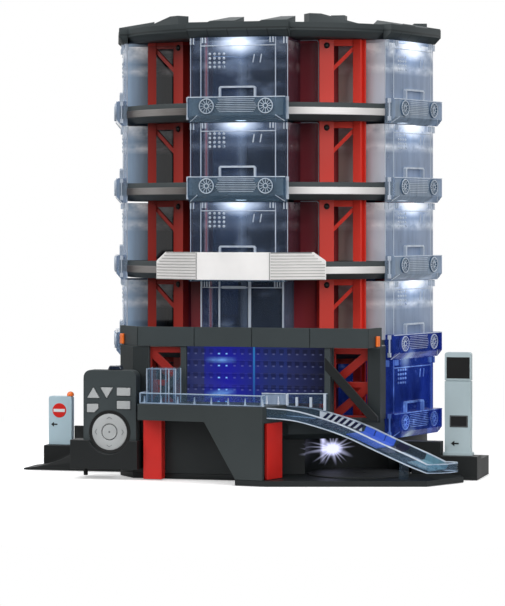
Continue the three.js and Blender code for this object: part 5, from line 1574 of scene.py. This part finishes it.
class GARAGE_OT_signs(bpy.types.Operator):
    """Tall sign at the entry, squat sign at the exit and its amber dome"""

    bl_idname = "garage.signs"
    bl_label = "Signs"

    def execute(self, context):
        edge = sizes().edge
        low, high = extent("in_sign")
        tall = Shape()
        depth = (0, 8.5, 0)
        left, right = low.x + 1.5, high.x - 1.5
        foot = low.z + 2.6
        lower = rounded(left, right, foot, ENTRY_SEAM, 0.01, 1)
        upper = rounded(left, right, ENTRY_SEAM + 0.8, high.z, 2.5)
        for outline in (lower, upper):
            tall.prism(upright(outline, ENTRY_FACE), depth)
        tall.block((left + 1, ENTRY_FACE + 1, 91), (right - 1, ENTRY_FACE + 7.5, 94))
        tall.block(low, at_height(high, foot))
        piece("entry_sign", tall, "garage", ["entry"], ["in_sign"], edge)
        plates, front = Shape(), ENTRY_FACE - 0.25
        for outline in (rectangle(*ENTRY_PLATE), rectangle(*ENTRY_SLOT), arrow(193.5, 33.5, 3.4)):
            plates.prism(upright(outline, front), MARK_DEPTH)
        plates.paint(0)
        left, right, bottom, top = ENTRY_SLOT
        corners = upright(rectangle(left + 0.8, right - 0.8, bottom + 0.8, top - 0.8), front)
        for start, end in zip(corners, corners[1:] + corners[:1]):
            plates.rod(start, end, 0.18, 4)
        plates.paint(1)
        piece("entry_sign_plates", plates, "garage", ["black", "ring_mark"])
        low, high = extent("out_sign")
        squat = Shape()
        squat.prism(upright(rounded(low.x, high.x, low.z, high.z, 2), EXIT_FACE), (0, 8, 0))
        piece("exit_sign", squat, "garage", ["exit"], ["out_sign"], edge)
        disc = Shape()
        middle = Vector((low.x + 11.2, EXIT_FACE, 55.4))
        disc.lathe(STOP_PROFILE, middle, FRONT, 48)
        disc.paint(0)
        disc.block(middle + Vector((-5.9, -0.6, -1.5)), middle + Vector((5.9, 0, 1.5)))
        disc.paint(1)
        disc.prism(upright(arrow(low.x + 2.6, 41.5, 3.0), EXIT_FACE - 0.25), MARK_DEPTH)
        disc.paint(2)
        piece("exit_sign_disc", disc, "garage", ["stop", "white", "black"])
        low, high = extent("out_sign_lamp")
        rise = high.z - low.z - DOME_FOOT
        profile = [(0, 0), (DOME_RADIUS, 0)]
        for step in range(9):
            turn = step * math.pi / 16
            profile.append((DOME_RADIUS * math.cos(turn), DOME_FOOT + rise * math.sin(turn)))
        dome = Shape()
        dome.lathe(profile, at_height((low + high) / 2, low.z), UP, 32)
        piece("exit_lamp_dome", dome, "garage", ["amber"], ["out_sign_lamp"])
        return {"FINISHED"}


# Remote control

RING_CENTRE = Vector((-118.7, -179, 44.6))
RING_PROFILE = [
    (7.8, -2.8), (7.8, 0.6), (8.4, 1.2), (15.6, 1.2), (17.1, 0.5), (17.1, -2.8), (7.8, -2.8),
]
RING_MARK = [(-2.6, 12.6), (0, 14.4), (2.6, 12.6), (2.6, 12.0), (0, 13.6), (-2.6, 12.0)]
RING_MARKS = 4
SURROUND_PROFILE = [(17.5, -0.3), (17.6, 0.3), (20.2, 0.5), (20.6, -0.3)]
DOT_PROFILE = [(0, 1.5), (0.9, 1.4), (1.1, 1.1)]
KEYS = ("centre", "up", "down", "light", "demo", "cancel")
REMOTE_EDGE = 0.0006
LENS_EDGE = 0.0008
KEY_EDGE = 0.0005


class GARAGE_OT_remote(bpy.types.Operator):
    """Remote control with its keys, ring pad, glossy lens and dock"""

    bl_idname = "garage.remote"
    bl_label = "Remote control"

    def execute(self, context):
        softened("remote_body", "charcoal", REMOTE_EDGE)
        softened("remote_dock", "dark", REMOTE_EDGE)
        softened("remote_lens", "smoke", LENS_EDGE)
        for key in KEYS:
            softened(f"{key}_button", "grey", KEY_EDGE)
        ring = Shape()
        ring.lathe(RING_PROFILE, RING_CENTRE, FRONT, 72)
        ring.paint(0)
        for index in range(RING_MARKS):
            mark = ring.prism(upright(RING_MARK, -1.45), (0, 0.5, 0))
            ring.move(spot_turn(RING_CENTRE, index, RING_MARKS), mark)
        ring.paint(1)
        finishes = ["grey", "ring_mark"]
        piece("ring_pad_face", ring, body_of("ring_pad"), finishes, ["ring_pad"])
        surround = Shape()
        surround.lathe(SURROUND_PROFILE, RING_CENTRE, FRONT, 72)
        piece("ring_surround", surround, body_of("remote_body"), ["black"])
        dot = Shape()
        dot.lathe(DOT_PROFILE, RING_CENTRE, FRONT, 24)
        piece("centre_dot", dot, body_of("centre_button"), ["ring_mark"])
        return {"FINISHED"}


# Sign board

BOARD_LINE = [(-83, -144.5), (-35.4, -173), (35.4, -173), (83, -144.5)]
BOARD_BOTTOM = 188.5
BOARD_TOP = 214.4
BOARD_CHAMFER = (11, 10)
BOARD_RIBS = 8


class GARAGE_OT_sign_board(bpy.types.Operator):
    """Silver board with a bare middle plate and ribbed wings"""

    bl_idname = "garage.sign_board"
    bl_label = "Sign board"

    def execute(self, context):
        softened("sign_board", "silver")
        trim = Shape()
        outward = inset(BOARD_LINE[::-1], 0.35)[::-1]
        height = BOARD_TOP - BOARD_BOTTOM
        for inner, outer in ((outward[1], outward[0]), (outward[2], outward[3])):
            way = (outer - inner).normalized()
            start, end = inner + way * 1.2, outer - way * 1.2
            for rib in range(BOARD_RIBS):
                z = BOARD_BOTTOM + height * (rib + 1.2) / (BOARD_RIBS + 1.4)
                beyond = max(0.0, z - (BOARD_TOP - BOARD_CHAMFER[1]) + 1.5)
                tip = end - way * (beyond * BOARD_CHAMFER[0] / BOARD_CHAMFER[1] * 1.15)
                trim.rod((*start, z), (*tip, z), 0.42, 6)
            for z, cut in ((BOARD_BOTTOM + 0.5, 0), (BOARD_TOP - 0.5, 13)):
                trim.rod((*start, z), (*(end - way * cut), z), 0.5, 6)
        trim.paint(0)
        for point in outward[1:3]:
            foot, head = (*point, BOARD_BOTTOM + 0.2), (*point, BOARD_TOP - 0.2)
            trim.rod(foot, head, 0.35, 6)
        trim.paint(1)
        piece("sign_board_ribs", trim, "garage", ["silver_line", "ring_mark"])
        return {"FINISHED"}


# Stage: its places are in metres

WHITE = (1, 1, 1, 1)
LAMP_TARGET = Vector((0, 0, 0.2))
CAMERA_PLACE = (0.6290, -2.5228, 0.2405)
CAMERA_LENS = 154.46
CAMERA_SHIFT = (-0.04125, -0.1297)


def studio_floor():
    """White ground that keeps a soft shadow near the object and is plain white far away."""
    paint = Paint.on("studio_floor")
    across, depth, _ = paint.axes()
    seen = paint.node("LightPath", out="Is Camera Ray")
    far = ((span_of(across, depth) - 260.0) / 420.0).clamped()
    glow = paint.blend(far, linear("a0a0a0"), WHITE)
    return paint.finished(
        Base_Color=paint.blend(far, colours("ground"), BLACK),
        Roughness=0.9,
        Specular_IOR_Level=0.0,
        Emission_Color=paint.blend(seen, BLACK, glow),
        Emission_Strength=1.0,
    )


def placed(scene, name, data, place, turn):
    """A lamp or a camera stood in the scene."""
    holder = bpy.data.objects.new(name, data)
    holder.location, holder.rotation_euler = place, turn
    scene.collection.objects.link(holder)
    return holder


class GARAGE_OT_stage(bpy.types.Operator):
    """Pale floor, soft lamps, surround and camera"""

    bl_idname = "garage.stage"
    bl_label = "Stage"

    def execute(self, context):
        scene = context.scene
        scene.view_settings.view_transform = "Standard"
        scene.cycles.transparent_max_bounces = 32
        world = Paint(bpy.data.worlds.new("Surround"))
        kinds = ("Camera", "Glossy", "Transmission")
        rays = [world.node("LightPath", out=f"Is {kind} Ray") for kind in kinds]
        seen = rays[0].at_least(rays[1]).at_least(rays[2])
        dim = lights().surround
        values = {"Color": WHITE, "Strength": seen * (1 - dim) + dim}
        scene.world = world.done(world.node("Background", values=values), "OutputWorld")
        lamps = (
            ("Key lamp", lights().key, 1.5, (-1.3, -1.7, 1.5)),
            ("Fill lamp", lights().fill, 1.6, (1.7, -1.5, 0.9)),
            ("Top lamp", lights().top, 1.6, (0.1, -0.2, 2.0)),
        )
        for name, power, size, place in lamps:
            lamp = bpy.data.lights.new(name, "AREA")
            lamp.energy, lamp.size = power, size
            way = LAMP_TARGET - Vector(place)
            placed(scene, name, lamp, place, way.to_track_quat("-Z", "Y").to_euler())
        ground = bmesh.new()
        bmesh.ops.create_grid(ground, x_segments=1, y_segments=1, size=3)
        bmesh.ops.translate(ground, vec=(0, 0, -0.0006), verts=ground.verts)
        mesh = bpy.data.meshes.new("studio_floor")
        ground.to_mesh(mesh)
        ground.free()
        floor = bpy.data.objects.new("studio_floor", mesh)
        mesh.materials.append(studio_floor())
        scene.collection.objects.link(floor)
        camera = bpy.data.cameras.new("Camera")
        camera.lens, camera.sensor_width = CAMERA_LENS, 36
        camera.shift_x, camera.shift_y = CAMERA_SHIFT
        turn = (math.radians(90), 0, math.radians(14))
        scene.camera = placed(scene, "Camera", camera, CAMERA_PLACE, turn)
        return {"FINISHED"}


# Add-on

GROUPS = {
    "garage_colours": GarageColours,
    "garage_sizes": GarageSizes,
    "garage_lights": GarageLights,
}

OPERATORS = (
    GARAGE_OT_stage,
    GARAGE_OT_bay_frames,
    GARAGE_OT_floors,
    GARAGE_OT_roof,
    GARAGE_OT_front_cases,
    GARAGE_OT_right_cases,
    GARAGE_OT_case_columns,
    GARAGE_OT_front_cover,
    GARAGE_OT_cell_lamps,
    GARAGE_OT_lift,
    GARAGE_OT_base,
    GARAGE_OT_portal,
    GARAGE_OT_balcony,
    GARAGE_OT_slope,
    GARAGE_OT_signs,
    GARAGE_OT_remote,
    GARAGE_OT_sign_board,
)


class GARAGE_PT_makers(bpy.types.Panel):
    """Lists the makers of the garage and the values that they read"""

    bl_idname = "GARAGE_PT_makers"
    bl_label = "Toy parking garage"
    bl_space_type = "VIEW_3D"
    bl_region_type = "UI"
    bl_category = "Garage"

    def draw(self, context):
        column = self.layout.column(align=True)
        for operator in OPERATORS:
            column.operator(operator.bl_idname)
        for name, group in GROUPS.items():
            column.separator()
            for field in group.__annotations__:
                column.prop(getattr(context.scene, name), field)


def register():
    for name, group in GROUPS.items():
        bpy.utils.register_class(group)
        setattr(bpy.types.Scene, name, bpy.props.PointerProperty(type=group))
    for entry in (*OPERATORS, GARAGE_PT_makers):
        bpy.utils.register_class(entry)


def unregister():
    for entry in (GARAGE_PT_makers, *reversed(OPERATORS)):
        bpy.utils.unregister_class(entry)
    for name, group in GROUPS.items():
        delattr(bpy.types.Scene, name)
        bpy.utils.unregister_class(group)


def main():
    """Builds the garage piece by piece."""
    register()
    for operator in OPERATORS:
        maker = operator.bl_idname.partition(".")[2]
        getattr(bpy.ops.garage, maker)()


if __name__ == "__main__":
    main()
